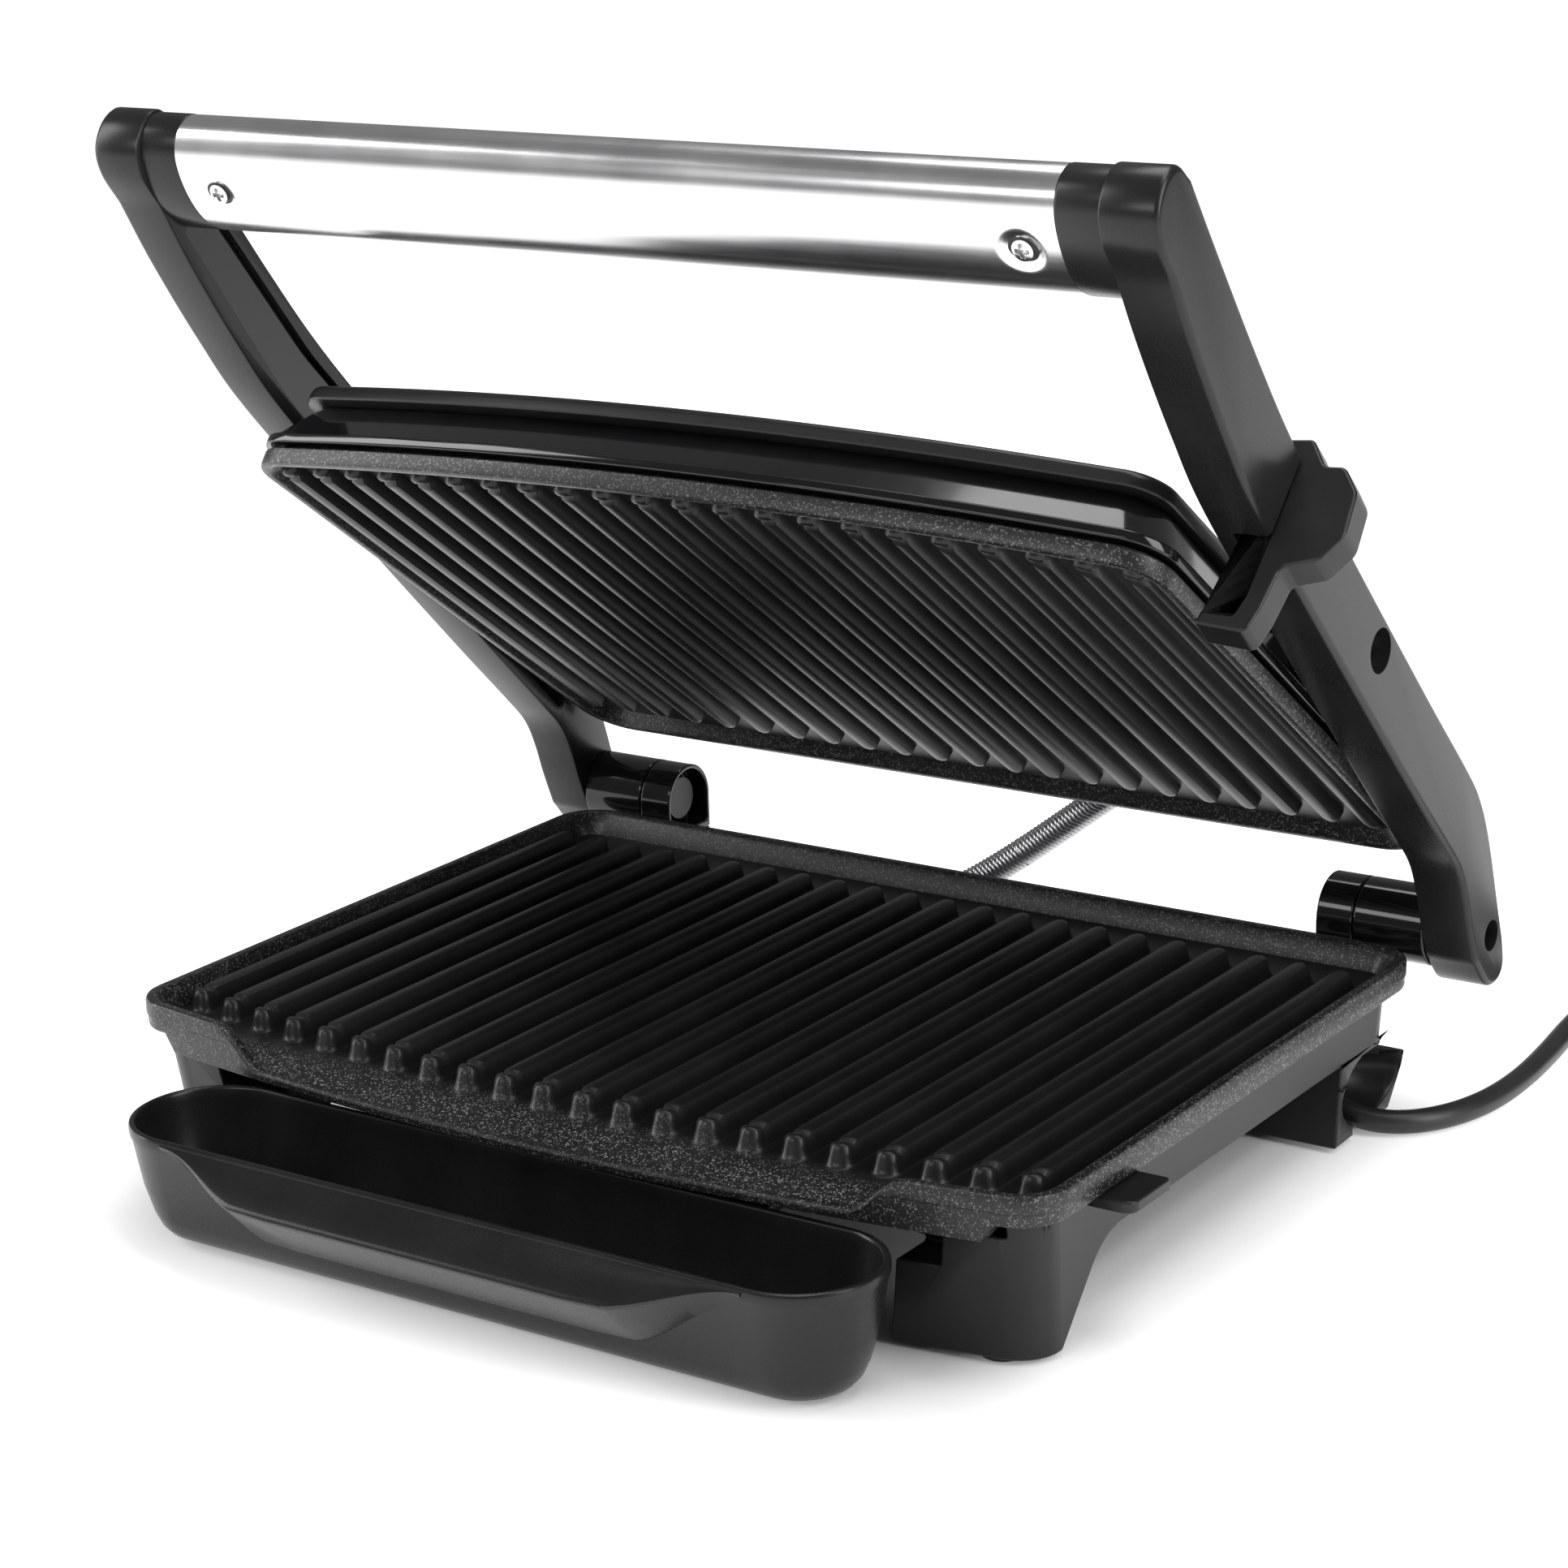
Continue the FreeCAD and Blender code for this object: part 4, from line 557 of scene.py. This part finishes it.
def plateRim(spec):
    # a band round the plate, its section carried along the outline; the pouring lip lowers its top
    half, back, front, corner = (spec[k] for k in ("half", "back", "front", "corner"))
    outer = bowedLoop(half, back, front, corner, 0.0)
    facing = smoothStep(-(outer[:, 1] - outer[:, 0] ** 2 / bow), -front - 3.0, -front - 1.0)
    lift = 1 - (1 - lipShare(outer[:, 0], spec)) * facing
    top = spec["rim"] - (1 - lift) * (spec["rim"] - 40.3)
    foot = np.full(len(outer), spec["sideFoot"])
    if "skirtFoot" in spec:
        foot = foot - (spec["sideFoot"] - spec["skirtFoot"]) * facing * smoothStep(
            -np.abs(outer[:, 0]), -spec["skirtHalf"], 1.0 - spec["skirtHalf"])
    span = top - foot
    section = [(7.6, foot), (7.6, foot + 0.25 * span), (3.9, top - 1.2), (3.3, top - 0.35),
               (2.5, top), (1.0, top), (0.35, top - 0.22), (0.0, top - 0.9),
               (0.0, np.minimum(spec["rim"] - 4.6, top - 1.2)),
               (0.45, np.minimum(spec["rim"] - 5.1, top - 1.5)),
               (0.45, foot + 0.9), (0.7, foot + 0.3), (1.3, foot)]
    loops = [bowedLoop(half - inset, back - inset, front + inset, corner - inset, z)
             for inset, z in section]
    return loft(loops, closed=True)


def turnedDown(points):
    # drawn rim up, then turned over about the parting level
    out = np.array(points)
    out[..., 2] = 51.5 + 50.5 - out[..., 2]
    return out


def addPlates():
    makePiece("ribbed_plate_lower", "base", [ribbedFloor(lowerPlate)], "plate_coating",
              ["lower_grill_plate"], sharp=40)
    makePiece("plate_rim_lower", "base", [plateRim(lowerPlate)], "cast_rim", sharp=40)
    block = loft([bowedLoop(140.5, 95.1, -106.4, 10, z) for z in (46.5, 40.0)])
    raised = lambda p: lidRaised(turnedDown(p))
    makePiece("ribbed_plate_upper", "lid", [ribbedFloor(upperPlate), block], "plate_coating",
              ["upper_grill_plate"], pose=raised, sharp=40)
    makePiece("plate_rim_upper", "lid", [plateRim(upperPlate)], "cast_rim", pose=raised, sharp=40)
    print("plates made")


addPlates()


# lid
lidShell = {"half": 146.5, "back": 101.1, "front": -112.4, "corner": 14.0, "flange": (58.0, 61.0),
            "deck": 73.5, "edge": 1.6}
lidPanel = {"half": 140.0, "back": 87.1, "front": -108.4, "corner": 12.0, "low": 73.55, "high": 79.05,
            "notch": (10.0, -10.8, 2.2)}
lampLens = {"places": [(-12.0, -68.4), (12.0, -68.4)], "radius": 3.9, "rise": 1.1}


def lidShellLoops(spec):
    half, back, front, corner = (spec[k] for k in ("half", "back", "front", "corner"))
    low, high = spec["flange"]
    loops = [bowedLoop(half - 7, back - 7, front + 7, 8, 66.0),
             bowedLoop(half - 3.8, back - 3.8, front + 3.8, 10.5, low + 0.2),
             bowedLoop(half - 3.4, back - 3.4, front + 3.4, 11, low)]
    loops += [bowedLoop(half + 0.6 - inset, back - inset, front - 0.6 + inset, corner - inset, z)
              for inset, z in roundedRun(low, high, 0.7)]
    foot, deck = high, spec["deck"]
    for t in (0.0, 0.05, 0.25, 0.5, 0.75, 0.86):       # walls lean in from the flange to the deck
        z = foot + t * (deck - foot)
        loops.append(bowedLoop(half - 0.8 - 7.7 * t, back - 0.8 - 5.2 * t, front + 0.6 + 7.9 * t,
                               13 - t, z))
    a = np.radians(np.linspace(20, 90, 5))             # rounded shoulder
    for inset, z in zip(1.75 * (1 - np.cos(a)) - 0.1, deck - 1.75 * (1 - np.sin(a))):
        loops.append(bowedLoop(half - 8.2 - inset, back - 5.8 - inset, front + 8.2 + inset, 12, z))
    return loops


def pivotCheek(side):
    # tombstone round the float pivot, its outer edge rounded
    a = np.radians(np.linspace(0, 180, 25))
    crown = np.stack([5.5 * np.cos(a), 5.5 * np.sin(a)], -1)
    ring = np.concatenate([[[5.5, -11.0]], crown, [[-5.5, -11.0]]])
    levels = ((131.5, 1.0), (145.8, 1.0), (146.6, 0.95), (147.0, 0.86))
    return loft([np.column_stack([np.full(len(ring), side * x), ring * share + floatPivot["place"]])
                 for x, share in levels])


def panelLoops(spec):
    # rounded edge falling away from an almost flat top
    runs = [(1.2, 0.0), (0.35, 0.2), (0.0, 0.7), (0.0, 2.6), (0.15, 3.6), (0.5, 4.3), (1.1, 4.75),
            (2.0, 5.0), (4.0, 5.2), (8.0, 5.35), (16.0, 5.5)]
    depth, low, high = spec["notch"]
    return [bowedLoop(spec["half"] - inset, spec["back"] - inset, spec["front"] + inset,
                      max(spec["corner"] - inset * 0.6, 3), spec["low"] + rise,
                      notch=(depth, low - inset * 0.2, high + inset * 0.2)) for inset, rise in runs]


def domes(spec, base):
    # shallow domes: radius and rise fall along a quarter wave
    turn = np.radians(np.arange(0, 360, 10))
    radius, rise = spec["radius"], spec["rise"]
    section = [(1, -1.6)] + [(math.cos(t), rise * math.sin(t)) for t in np.radians((0, 20, 40, 60, 78))]
    return [loft([np.column_stack([x + radius * r * np.cos(turn), y + radius * r * np.sin(turn),
                                   np.full(len(turn), base + z)]) for r, z in section])
            for x, y in spec["places"]]


def addLid():
    makePiece("lid_shell", "lid", [loft(lidShellLoops(lidShell)), pivotCheek(-1), pivotCheek(1)],
              "gloss_black", ["upper_housing"], lidRaised)
    makePiece("lid_panel", "lid", [loft(panelLoops(lidPanel))], "panel_black", ["top_panel"], lidRaised)
    makePiece("lamp_lenses", "lid", domes(lampLens, lidPanel["high"]), "lens", ["indicator_lenses"],
              lidRaised)
    print("lid made")


addLid()


# handle, arms and latch
handle = {"ring": [(-184.2, 89.0), (-181.8, 96.2), (-173.5, 98.2), (-161.0, 95.8), (-151.5, 91.4),
                   (-148.5, 85.2), (-152.0, 79.2), (-161.0, 76.3), (-171.5, 77.8), (-180.6, 82.4)],
          "centre": (-166.5, 87.2), "end": 137.0, "screwX": 126.0, "screw": (-170.8, 77.4),
          "dimple": 6.0, "depth": 1.5}


def spans(a, b, c, d, steps):
    # Catmull-Rom curve: each span from b to c blends its four neighbours with cubic weights
    t = (np.arange(steps) / steps)[:, None, None]
    curve = 0.5 * (2 * b + (c - a) * t + (2 * a - 5 * b + 4 * c - d) * t ** 2
                   + (3 * b - a - 3 * c + d) * t ** 3)
    return curve.transpose(1, 0, 2).reshape(-1, 2)


def smoothRing(points, steps):
    # closed curve through the points
    p = np.asarray(points, float)
    return spans(np.roll(p, 1, 0), p, np.roll(p, -1, 0), np.roll(p, -2, 0), steps)


def smoothRun(points, steps=8):
    # open curve through the points with mirrored end points, its last point left out
    p = np.asarray(points, float)
    p = np.concatenate([[2 * p[0] - p[1]], p, [2 * p[-1] - p[-2]]])
    return spans(p[:-3], p[1:-2], p[2:-1], p[3:], steps)


def handleSleeve(spec):
    # oval carried along X; a bell-shaped hollow of given depth sinks around each screw
    ring = smoothRing(spec["ring"], 12)
    centre = np.array(spec["centre"])
    spoke = ring - centre
    ring = centre + spoke * (1 - 0.15 / np.linalg.norm(spoke, axis=1))[:, None]
    outward = spoke / np.linalg.norm(spoke, axis=1)[:, None]
    near = np.linspace(-spec["dimple"] * 1.5, spec["dimple"] * 1.5, 31)
    x = np.unique(np.round(np.concatenate([
        [-spec["end"], -spec["end"] + 0.3], np.linspace(-110, 110, 12), spec["screwX"] + near,
        -spec["screwX"] + near, [spec["end"] - 0.3, spec["end"]]]), 3))
    x = x[np.abs(x) <= spec["end"]]
    along = np.abs(np.abs(x) - spec["screwX"])
    across = np.linalg.norm(ring - np.array(spec["screw"]), axis=1)
    distance = np.hypot(along[:, None], across[None, :])
    sink = spec["depth"] * (1 - smoothStep(distance, spec["dimple"] * 0.55, spec["dimple"] * 1.15))
    flat = ring[None] - outward[None] * sink[..., None]
    loops = np.concatenate([np.broadcast_to(x[:, None, None], (*sink.shape, 1)), flat], -1)
    return loft(loops)


def crossHead(centre, normal, radius=2.9, height=1.0):
    # domed disc; a cross of two rounded bars is sunk into it, deepest in the middle
    r = np.concatenate([np.linspace(0.02, 0.72, 22), np.linspace(0.76, 1.0, 6)])[:, None]
    a = np.radians(np.arange(0, 360, 3.75))[None, :]
    u, v = radius * r * np.cos(a), radius * r * np.sin(a)
    bar = np.maximum(smoothStep(-np.abs(u), -0.62, -0.42) * smoothStep(-np.abs(v), -2.0, -1.6),
                     smoothStep(-np.abs(v), -0.62, -0.42) * smoothStep(-np.abs(u), -2.0, -1.6))
    z = height * (1 - 0.55 * r ** 2) - bar * 1.0
    normal = Vector(normal).normalized()
    sideways = Vector((1, 0, 0))
    normal, sideways, upwards = (np.array(axis) for axis in (normal, sideways, normal.cross(sideways)))
    disc = np.array(centre) + u[..., None] * sideways + v[..., None] * upwards
    return loft(np.concatenate([disc + z[..., None] * normal, disc[-1:] - 1.2 * normal]))


sideArm = {
    "lower": [(119.0, 43.3), (108.0, 48.2), (98.0, 53.2), (88.0, 56.6), (74.0, 57.2), (40.0, 57.4),
              (-30.0, 58.6), (-88.0, 60.4), (-116.0, 64.3), (-145.0, 70.3), (-166.0, 76.0)],
    "nose": [(-166.0, 76.0), (-176.5, 77.8), (-183.0, 82.2), (-185.2, 90.0), (-182.5, 96.6),
             (-175.0, 98.2)],
    "upper": [(-175.0, 98.2), (-155.0, 94.6), (-118.0, 88.6), (-85.0, 84.7), (-40.0, 82.8),
              (30.0, 81.0), (72.0, 80.4), (86.0, 78.9), (100.0, 74.0), (121.0, 63.2), (131.0, 58.0)],
    "tail": [(131.0, 58.0), (137.2, 53.0), (137.4, 47.0), (131.5, 42.6), (119.0, 43.3)],
    "inner": 149.5, "outer": 165.5, "cap": 137.0, "outerEdge": 1.8, "innerEdge": 0.7,
    "accessHoles": [(*floatPivot["place"], 6.2), (*hinge["place"], 4.6)], "holeDepth": 8.0,
    "recess": [(84.0, 61.0), (84.0, 76.0), (-88.0, 80.5), (-150.0, 89.0), (-154.0, 76.5), (-88.0, 64.5)],
    "recessCorners": [3.0, 4.0, 6.0, 2.0, 2.0, 10.0], "recessDepth": 6.0,
    "latchSeat": (155.0, -81.0, -69.0)}


def roundedRing(points, radii, steps=6):
    # each corner is a parabola between points a given way along its two sides
    p, r = np.asarray(points, float), np.asarray(radii, float)[:, None]
    before, after = np.roll(p, 1, 0) - p, np.roll(p, -1, 0) - p
    start = p + before / np.linalg.norm(before, axis=1)[:, None] * r
    end = p + after / np.linalg.norm(after, axis=1)[:, None] * r
    t = np.linspace(0, 1, steps)[None, :, None]
    curve = (1 - t) ** 2 * start[:, None] + 2 * t * (1 - t) * p[:, None] + t ** 2 * end[:, None]
    return curve.reshape(-1, 2)


def inwards(ring, distance):
    # each point moves square to the line between its neighbours; the ring runs clockwise in (y, z)
    step = np.roll(ring, -1, 0) - np.roll(ring, 1, 0)
    step /= np.linalg.norm(step, axis=1)[:, None]
    return ring + distance * np.stack([step[:, 1], -step[:, 0]], -1)


def flatPrism(ring, x0, x1):
    return loft([np.column_stack([np.full(len(ring), x), ring]) for x in (x0, x1)])


def cutAway(piece, shells):
    # boolean difference with closed shells, kept as plain mesh
    tool = makePiece("tool", None, shells, "arm_black", pose=armRaised)
    modifier = piece.modifiers.new("cut", "BOOLEAN")
    modifier.operation, modifier.object, modifier.solver = "DIFFERENCE", tool, "EXACT"
    shape = piece.evaluated_get(bpy.context.evaluated_depsgraph_get())
    mesh = bpy.data.meshes.new_from_object(shape)
    piece.modifiers.clear()
    piece.data = mesh
    bpy.data.objects.remove(tool)
    mesh.set_sharp_from_angle(angle=math.radians(32))


def addArm(spec, side, name):
    ring = np.concatenate([smoothRun(spec[k]) for k in ("lower", "nose", "upper", "tail")])
    runs = [(spec["inner"] + i, e) for i, e in ((0, spec["innerEdge"]), (0.25, 0.2), (0.8, 0))]
    a = np.radians(np.linspace(0, 90, 6))
    runs += list(zip(spec["outer"] - spec["outerEdge"] * (1 - np.sin(a)),
                     spec["outerEdge"] * (1 - np.cos(a))))
    body = loft([np.column_stack([np.full(len(ring), side * x), inwards(ring, e)]) for x, e in runs])
    cap = smoothRing(handle["ring"], 12)
    ends = [(spec["cap"], 0.5), (spec["cap"] + 0.2, 0.15), (spec["cap"] + 0.6, 0.0),
            (spec["inner"] + 2.5, 0.0)]
    capShell = loft([np.column_stack([np.full(len(cap), side * x), inwards(cap, e)]) for x, e in ends])
    piece = makePiece(name, "arms", [body], "arm_black", [name.replace("_side", "")], armRaised)
    turn = np.radians(np.arange(0, 360, 7.5))
    tools = []
    for y, z, radius in spec["accessHoles"]:
        circle = np.stack([y + radius * np.cos(turn), z + radius * np.sin(turn)], -1)
        tools.append(flatPrism(circle, side * (spec["outer"] - spec["holeDepth"]),
                               side * (spec["outer"] + 5)))
    hollow = roundedRing(spec["recess"], spec["recessCorners"])
    tools.append(flatPrism(hollow, side * (spec["inner"] - 3),
                           side * (spec["inner"] + spec["recessDepth"])))
    if side > 0:
        x, y0, y1 = spec["latchSeat"]
        seat = np.array([(y0, 50.0), (y1, 50.0), (y1, 92.0), (y0, 92.0)])
        tools.append(flatPrism(seat, x, x + 20))
    cutAway(piece, tools)
    makePiece(name + "_cap", "arms", [capShell], "arm_black", pose=armRaised)


def addHandle():
    makePiece("handle_tube", "arms", [handleSleeve(handle)], "stainless", ["handle_sleeve"], armRaised, 30)
    out = np.array(handle["screw"]) - np.array(handle["centre"])
    out = out / np.linalg.norm(out)
    seat = np.array(handle["screw"]) - out * (handle["depth"] - 0.2)
    heads = [crossHead((side * handle["screwX"], *seat), (0, *out)) for side in (-1, 1)]
    makePiece("cross_screws", "arms", heads, "bright_steel", ["handle_screws"], armRaised, 28)
    for side in ("left", "right"):
        addArm(sideArm, -1 if side == "left" else 1, side + "_side_arm")
        softenedCopy(side + "_arm_liner", "arms", side + "_arm_cover", "gloss_black", 0.4)
        softenedCopy(side + "_collar", "arms", side + "_hinge_collar", "gloss_black", 0.7)
    softenedCopy("swing_latch", "latch", "latch", "latch_black", 0.9, segments=4)
    print("handle and arms made")


addHandle()


# base, brackets and tray
dripTray = {"half": 118.5, "depth": 45.5, "centreY": -132.0, "rim": 34.5, "bottom": 1.5, "wall": 2.0}
trayScoop = {"inner": 60.0, "outer": 94.0, "reach": 12.0}


def stadiumLoop(half, depth, centreY, z):
    # two straight runs and two half circles
    r = depth / 2
    reach = half - r
    x = np.linspace(-reach, reach, 41)
    flat = np.concatenate([
        np.stack([x, np.full_like(x, centreY - r)], -1), arc(reach, centreY, r, -90, 90, 33)[1:-1],
        np.stack([x[::-1], np.full_like(x, centreY + r)], -1),
        arc(-reach, centreY, r, 90, 270, 33)[1:-1]])
    return np.column_stack([flat, np.full(len(flat), z)])


def trayShell(spec):
    # outer wall up, over a rolled rim, inner wall down: inset at each height
    rim, low, wall = spec["rim"], spec["bottom"], spec["wall"]
    runs = [(13.5, low), (11.0, low + 0.2), (8.8, low + 1.4), (6.9, low + 3.6), (5.2, low + 7.4),
            (2.9, low + 15.5), (0.7, rim - 4.6), (0.15, rim - 3.4), (0.0, rim - 2.4), (0.0, rim - 0.9),
            (0.25, rim - 0.3), (0.8, rim), (1.4, rim), (1.85, rim - 0.3), (2.1, rim - 0.9),
            (2.2, rim - 3.4), (4.8, low + 15.5), (7.2, low + 7.8), (9.2, low + 4.0), (12.0, low + 2.3),
            (15.5, low + wall)]
    return loft([stadiumLoop(spec["half"] - i, spec["depth"] - 2 * i, spec["centreY"], z)
                 for i, z in runs])


def scoopShell(tray, spec):
    # wedge under the rim: its reach swells from the ends to the middle along a smooth step
    x = np.concatenate([np.linspace(-spec["outer"], -spec["inner"], 21), np.linspace(-48, 48, 9),
                        np.linspace(spec["inner"], spec["outer"], 21)])
    reach = 0.6 + (spec["reach"] - 0.6) * smoothStep(-np.abs(x), -spec["outer"], -spec["inner"] + 4)
    frontY = tray["centreY"] - tray["depth"] / 2
    top = tray["rim"] - 0.8
    share = reach / 12
    corners = [(3.0, top), (0.2, top - 0.1 * share),
               (-reach + 1.2 * share, top - 6.3 * share), (-reach + 0.35 * share, top - 6.9 * share),
               (-reach, top - 7.5 * share), (-reach + 0.25 * share, top - 8.1 * share),
               (-reach + 0.9 * share, top - 8.8 * share), (1.5, top - 4 - 17.5 * share),
               (6.0, top - 4 - 20 * share)]
    return loft(np.stack([np.stack(np.broadcast_arrays(x, frontY + dy, z), -1) for dy, z in corners], 1))


def boxShell(x0, x1, y0, y1, z0, z1, edge=0.6):
    # box with rounded upright corners and eased top and bottom edges
    r = 2.0
    corners = [(x1 - r, y0 + r), (x1 - r, y1 - r), (x0 + r, y1 - r), (x0 + r, y0 + r)]
    loops = []
    for inset, z in roundedRun(z0, z1, edge, 3):
        flat = np.concatenate([arc(x, y, r - inset * 0.9, 90 * i - 90, 90 * i, 5)
                               for i, (x, y) in enumerate(corners)])
        loops.append(np.column_stack([flat, np.full(len(flat), z)]))
    return loft(loops)


def addBase():
    softenedCopy("base_shell", "base", "base_housing", "satin_black", 0.8)
    softenedCopy("catch_shelf", "base", "latch_catch", "satin_black", 0.7)
    softenedCopy("tray_guides", "base", "tray_rails", "satin_black", 0.4)
    softenedCopy("rubber_pads", "base", "rubber_feet", "foot_rubber", 0.7)
    for side in ("left", "right"):
        softenedCopy(side + "_bracket", "base", side + "_hinge_bracket", "gloss_black", 0.7)
    tongue = boxShell(-60, 60, -110.8, -25, 23, 26)
    makePiece("fat_tray", "tray", [trayShell(dripTray), scoopShell(dripTray, trayScoop), tongue],
              "tray_black", ["drip_tray"], sharp=35)
    print("base and tray made")


addBase()


# spring-wound conduit
conduit = {"route": [(-20, 97, 35.6), (-19.8, 109, 35.7), (-16.5, 118.6, 37.6), (-8, 124.8, 42.4),
                     (5.2, 127.6, 51.6), (20, 130.1, 63), (34.6, 132.3, 74.4), (44, 132.2, 81.4),
                     (48, 127.4, 85.6)], "outer": 4.7, "wire": 0.72, "pitch": 1.46}


def routeLine(points, count):
    # quadratic B-spline drawn towards the control points, cut into even steps
    p = np.asarray(points, float)
    p = np.concatenate([[2 * p[0] - p[1]], p, [2 * p[-1] - p[-2]]])
    t = np.linspace(0, 1, 13)[:-1][:, None, None]
    a, b, c = p[:-2], p[1:-1], p[2:]
    curve = (0.5 * (1 - t) ** 2) * a + (0.5 + t * (1 - t)) * b + (0.5 * t ** 2) * c
    line = np.concatenate([curve.transpose(1, 0, 2).reshape(-1, 3), 0.5 * (p[-2:-1] + p[-1:])])
    gone = np.concatenate([[0], np.cumsum(np.linalg.norm(np.diff(line, axis=0), axis=1))])
    even = np.linspace(0, gone[-1], count)
    return np.stack([np.interp(even, gone, line[:, k]) for k in range(3)], -1), gone[-1]


def framesAlong(line):
    # tangent, and two directions square to it, at every point
    tangent = np.gradient(line, axis=0)
    tangent /= np.linalg.norm(tangent, axis=1)[:, None]
    side = np.cross(tangent, np.array([0.25, -0.75, 0.6]))
    side /= np.linalg.norm(side, axis=1)[:, None]
    return tangent, side, np.cross(tangent, side)


def wound(line, length, radius, wire, pitch):
    # wire wound round the line: centre = line + radius (cos w side + sin w over), w = 2 pi s / pitch
    perTurn = 14
    count = int(length / pitch * perTurn)
    s = np.linspace(0, 1, count)
    at = np.linspace(0, 1, len(line))
    tangent, side, over = framesAlong(line)
    pick = [np.stack([np.interp(s, at, v[:, k]) for k in range(3)], -1)
            for v in (line, tangent, side, over)]
    w = (2 * math.pi / perTurn * np.arange(count))[:, None]
    outward = np.cos(w) * pick[2] + np.sin(w) * pick[3]
    centre = pick[0] + radius * outward
    a = np.radians(np.arange(0, 360, 60))[None, :, None]
    loops = centre[:, None] + wire * (np.cos(a) * outward[:, None] + np.sin(a) * pick[1][:, None])
    return loft(loops)


def tube(line, radii, sides=20):
    # circle of given radius carried along the line
    tangent, side, over = framesAlong(line)
    a = np.radians(np.arange(sides) * 360 / sides)[None, :, None]
    radii = np.broadcast_to(radii, len(line))[:, None, None]
    return loft(line[:, None] + radii * (np.cos(a) * side[:, None] + np.sin(a) * over[:, None]))


def addConduit(spec):
    steps = 120
    middle = steps // 2
    line, length = routeLine(spec["route"], steps + 1)
    halves = (("conduit_lower", line[:middle + 2], "base", "arms"),
              ("conduit_upper", line[middle:], "arms", "lid"))
    for name, run, first, second in halves:
        share = length * (len(run) - 1) / steps
        shells = [wound(run, share, spec["outer"] - spec["wire"], spec["wire"], spec["pitch"]),
                  tube(run, spec["outer"] - 1.3 * spec["wire"])]
        piece = makePiece(name, None, shells, "conduit_steel", ["flex_conduit"], sharp=60)
        tuple(run[2] / 1000)
        tuple(run[-3] / 1000)
        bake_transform(piece)
    print("conduit wound, %.0f mm" % length)


addConduit(conduit)


# floor
def addFloor():
    mesh = bpy.data.meshes.new("floor")
    mesh.from_pydata([(-6, -6, 0), (6, -6, 0), (6, 6, 0), (-6, 6, 0)], [], [(0, 1, 2, 3)])
    finish = Finish("floor")
    shade = finish.noise((3, 3, 3), 2.0)
    finish.feed(finish.shader.inputs["Base Color"],
                finish.blendColours(finish.ramp(shade, 0.3, 0.7), (0.90, 0.90, 0.90), (0.92, 0.92, 0.92)))
    finish.shader.inputs["Roughness"].default_value = 0.5
    where = finish.node("ShaderNodeTexCoord", output=3)      # painted shadow: the floor's glow fades to none under and around the base, where its shade falls
    x = finish.node("ShaderNodeSeparateXYZ", {}, {"Vector": where}, output=0)
    y = finish.node("ShaderNodeSeparateXYZ", {}, {"Vector": where}, output=1)
    across = finish.node("ShaderNodeMath", {"operation": "ABSOLUTE"}, {0: x / 0.14})
    along = finish.node("ShaderNodeMath", {"operation": "ABSOLUTE"}, {0: (y + 0.02) / 0.12})
    far = finish.node("ShaderNodeMath", {"operation": "SMOOTH_MAX"}, {0: across, 1: along, 2: 0.2})
    # painted shadow: black glow colour inside the base's footprint, white glow beyond it
    finish.feed(finish.shader.inputs["Emission Color"],
                finish.blendColours(finish.ramp(far, 0.85, 1.35), (0, 0, 0), (1, 1, 1)))
    finish.shader.inputs["Emission Strength"].default_value = 0.80
    mesh.materials.append(finish.material)
    addObject("floor", mesh)


addFloor()

print("scene made")
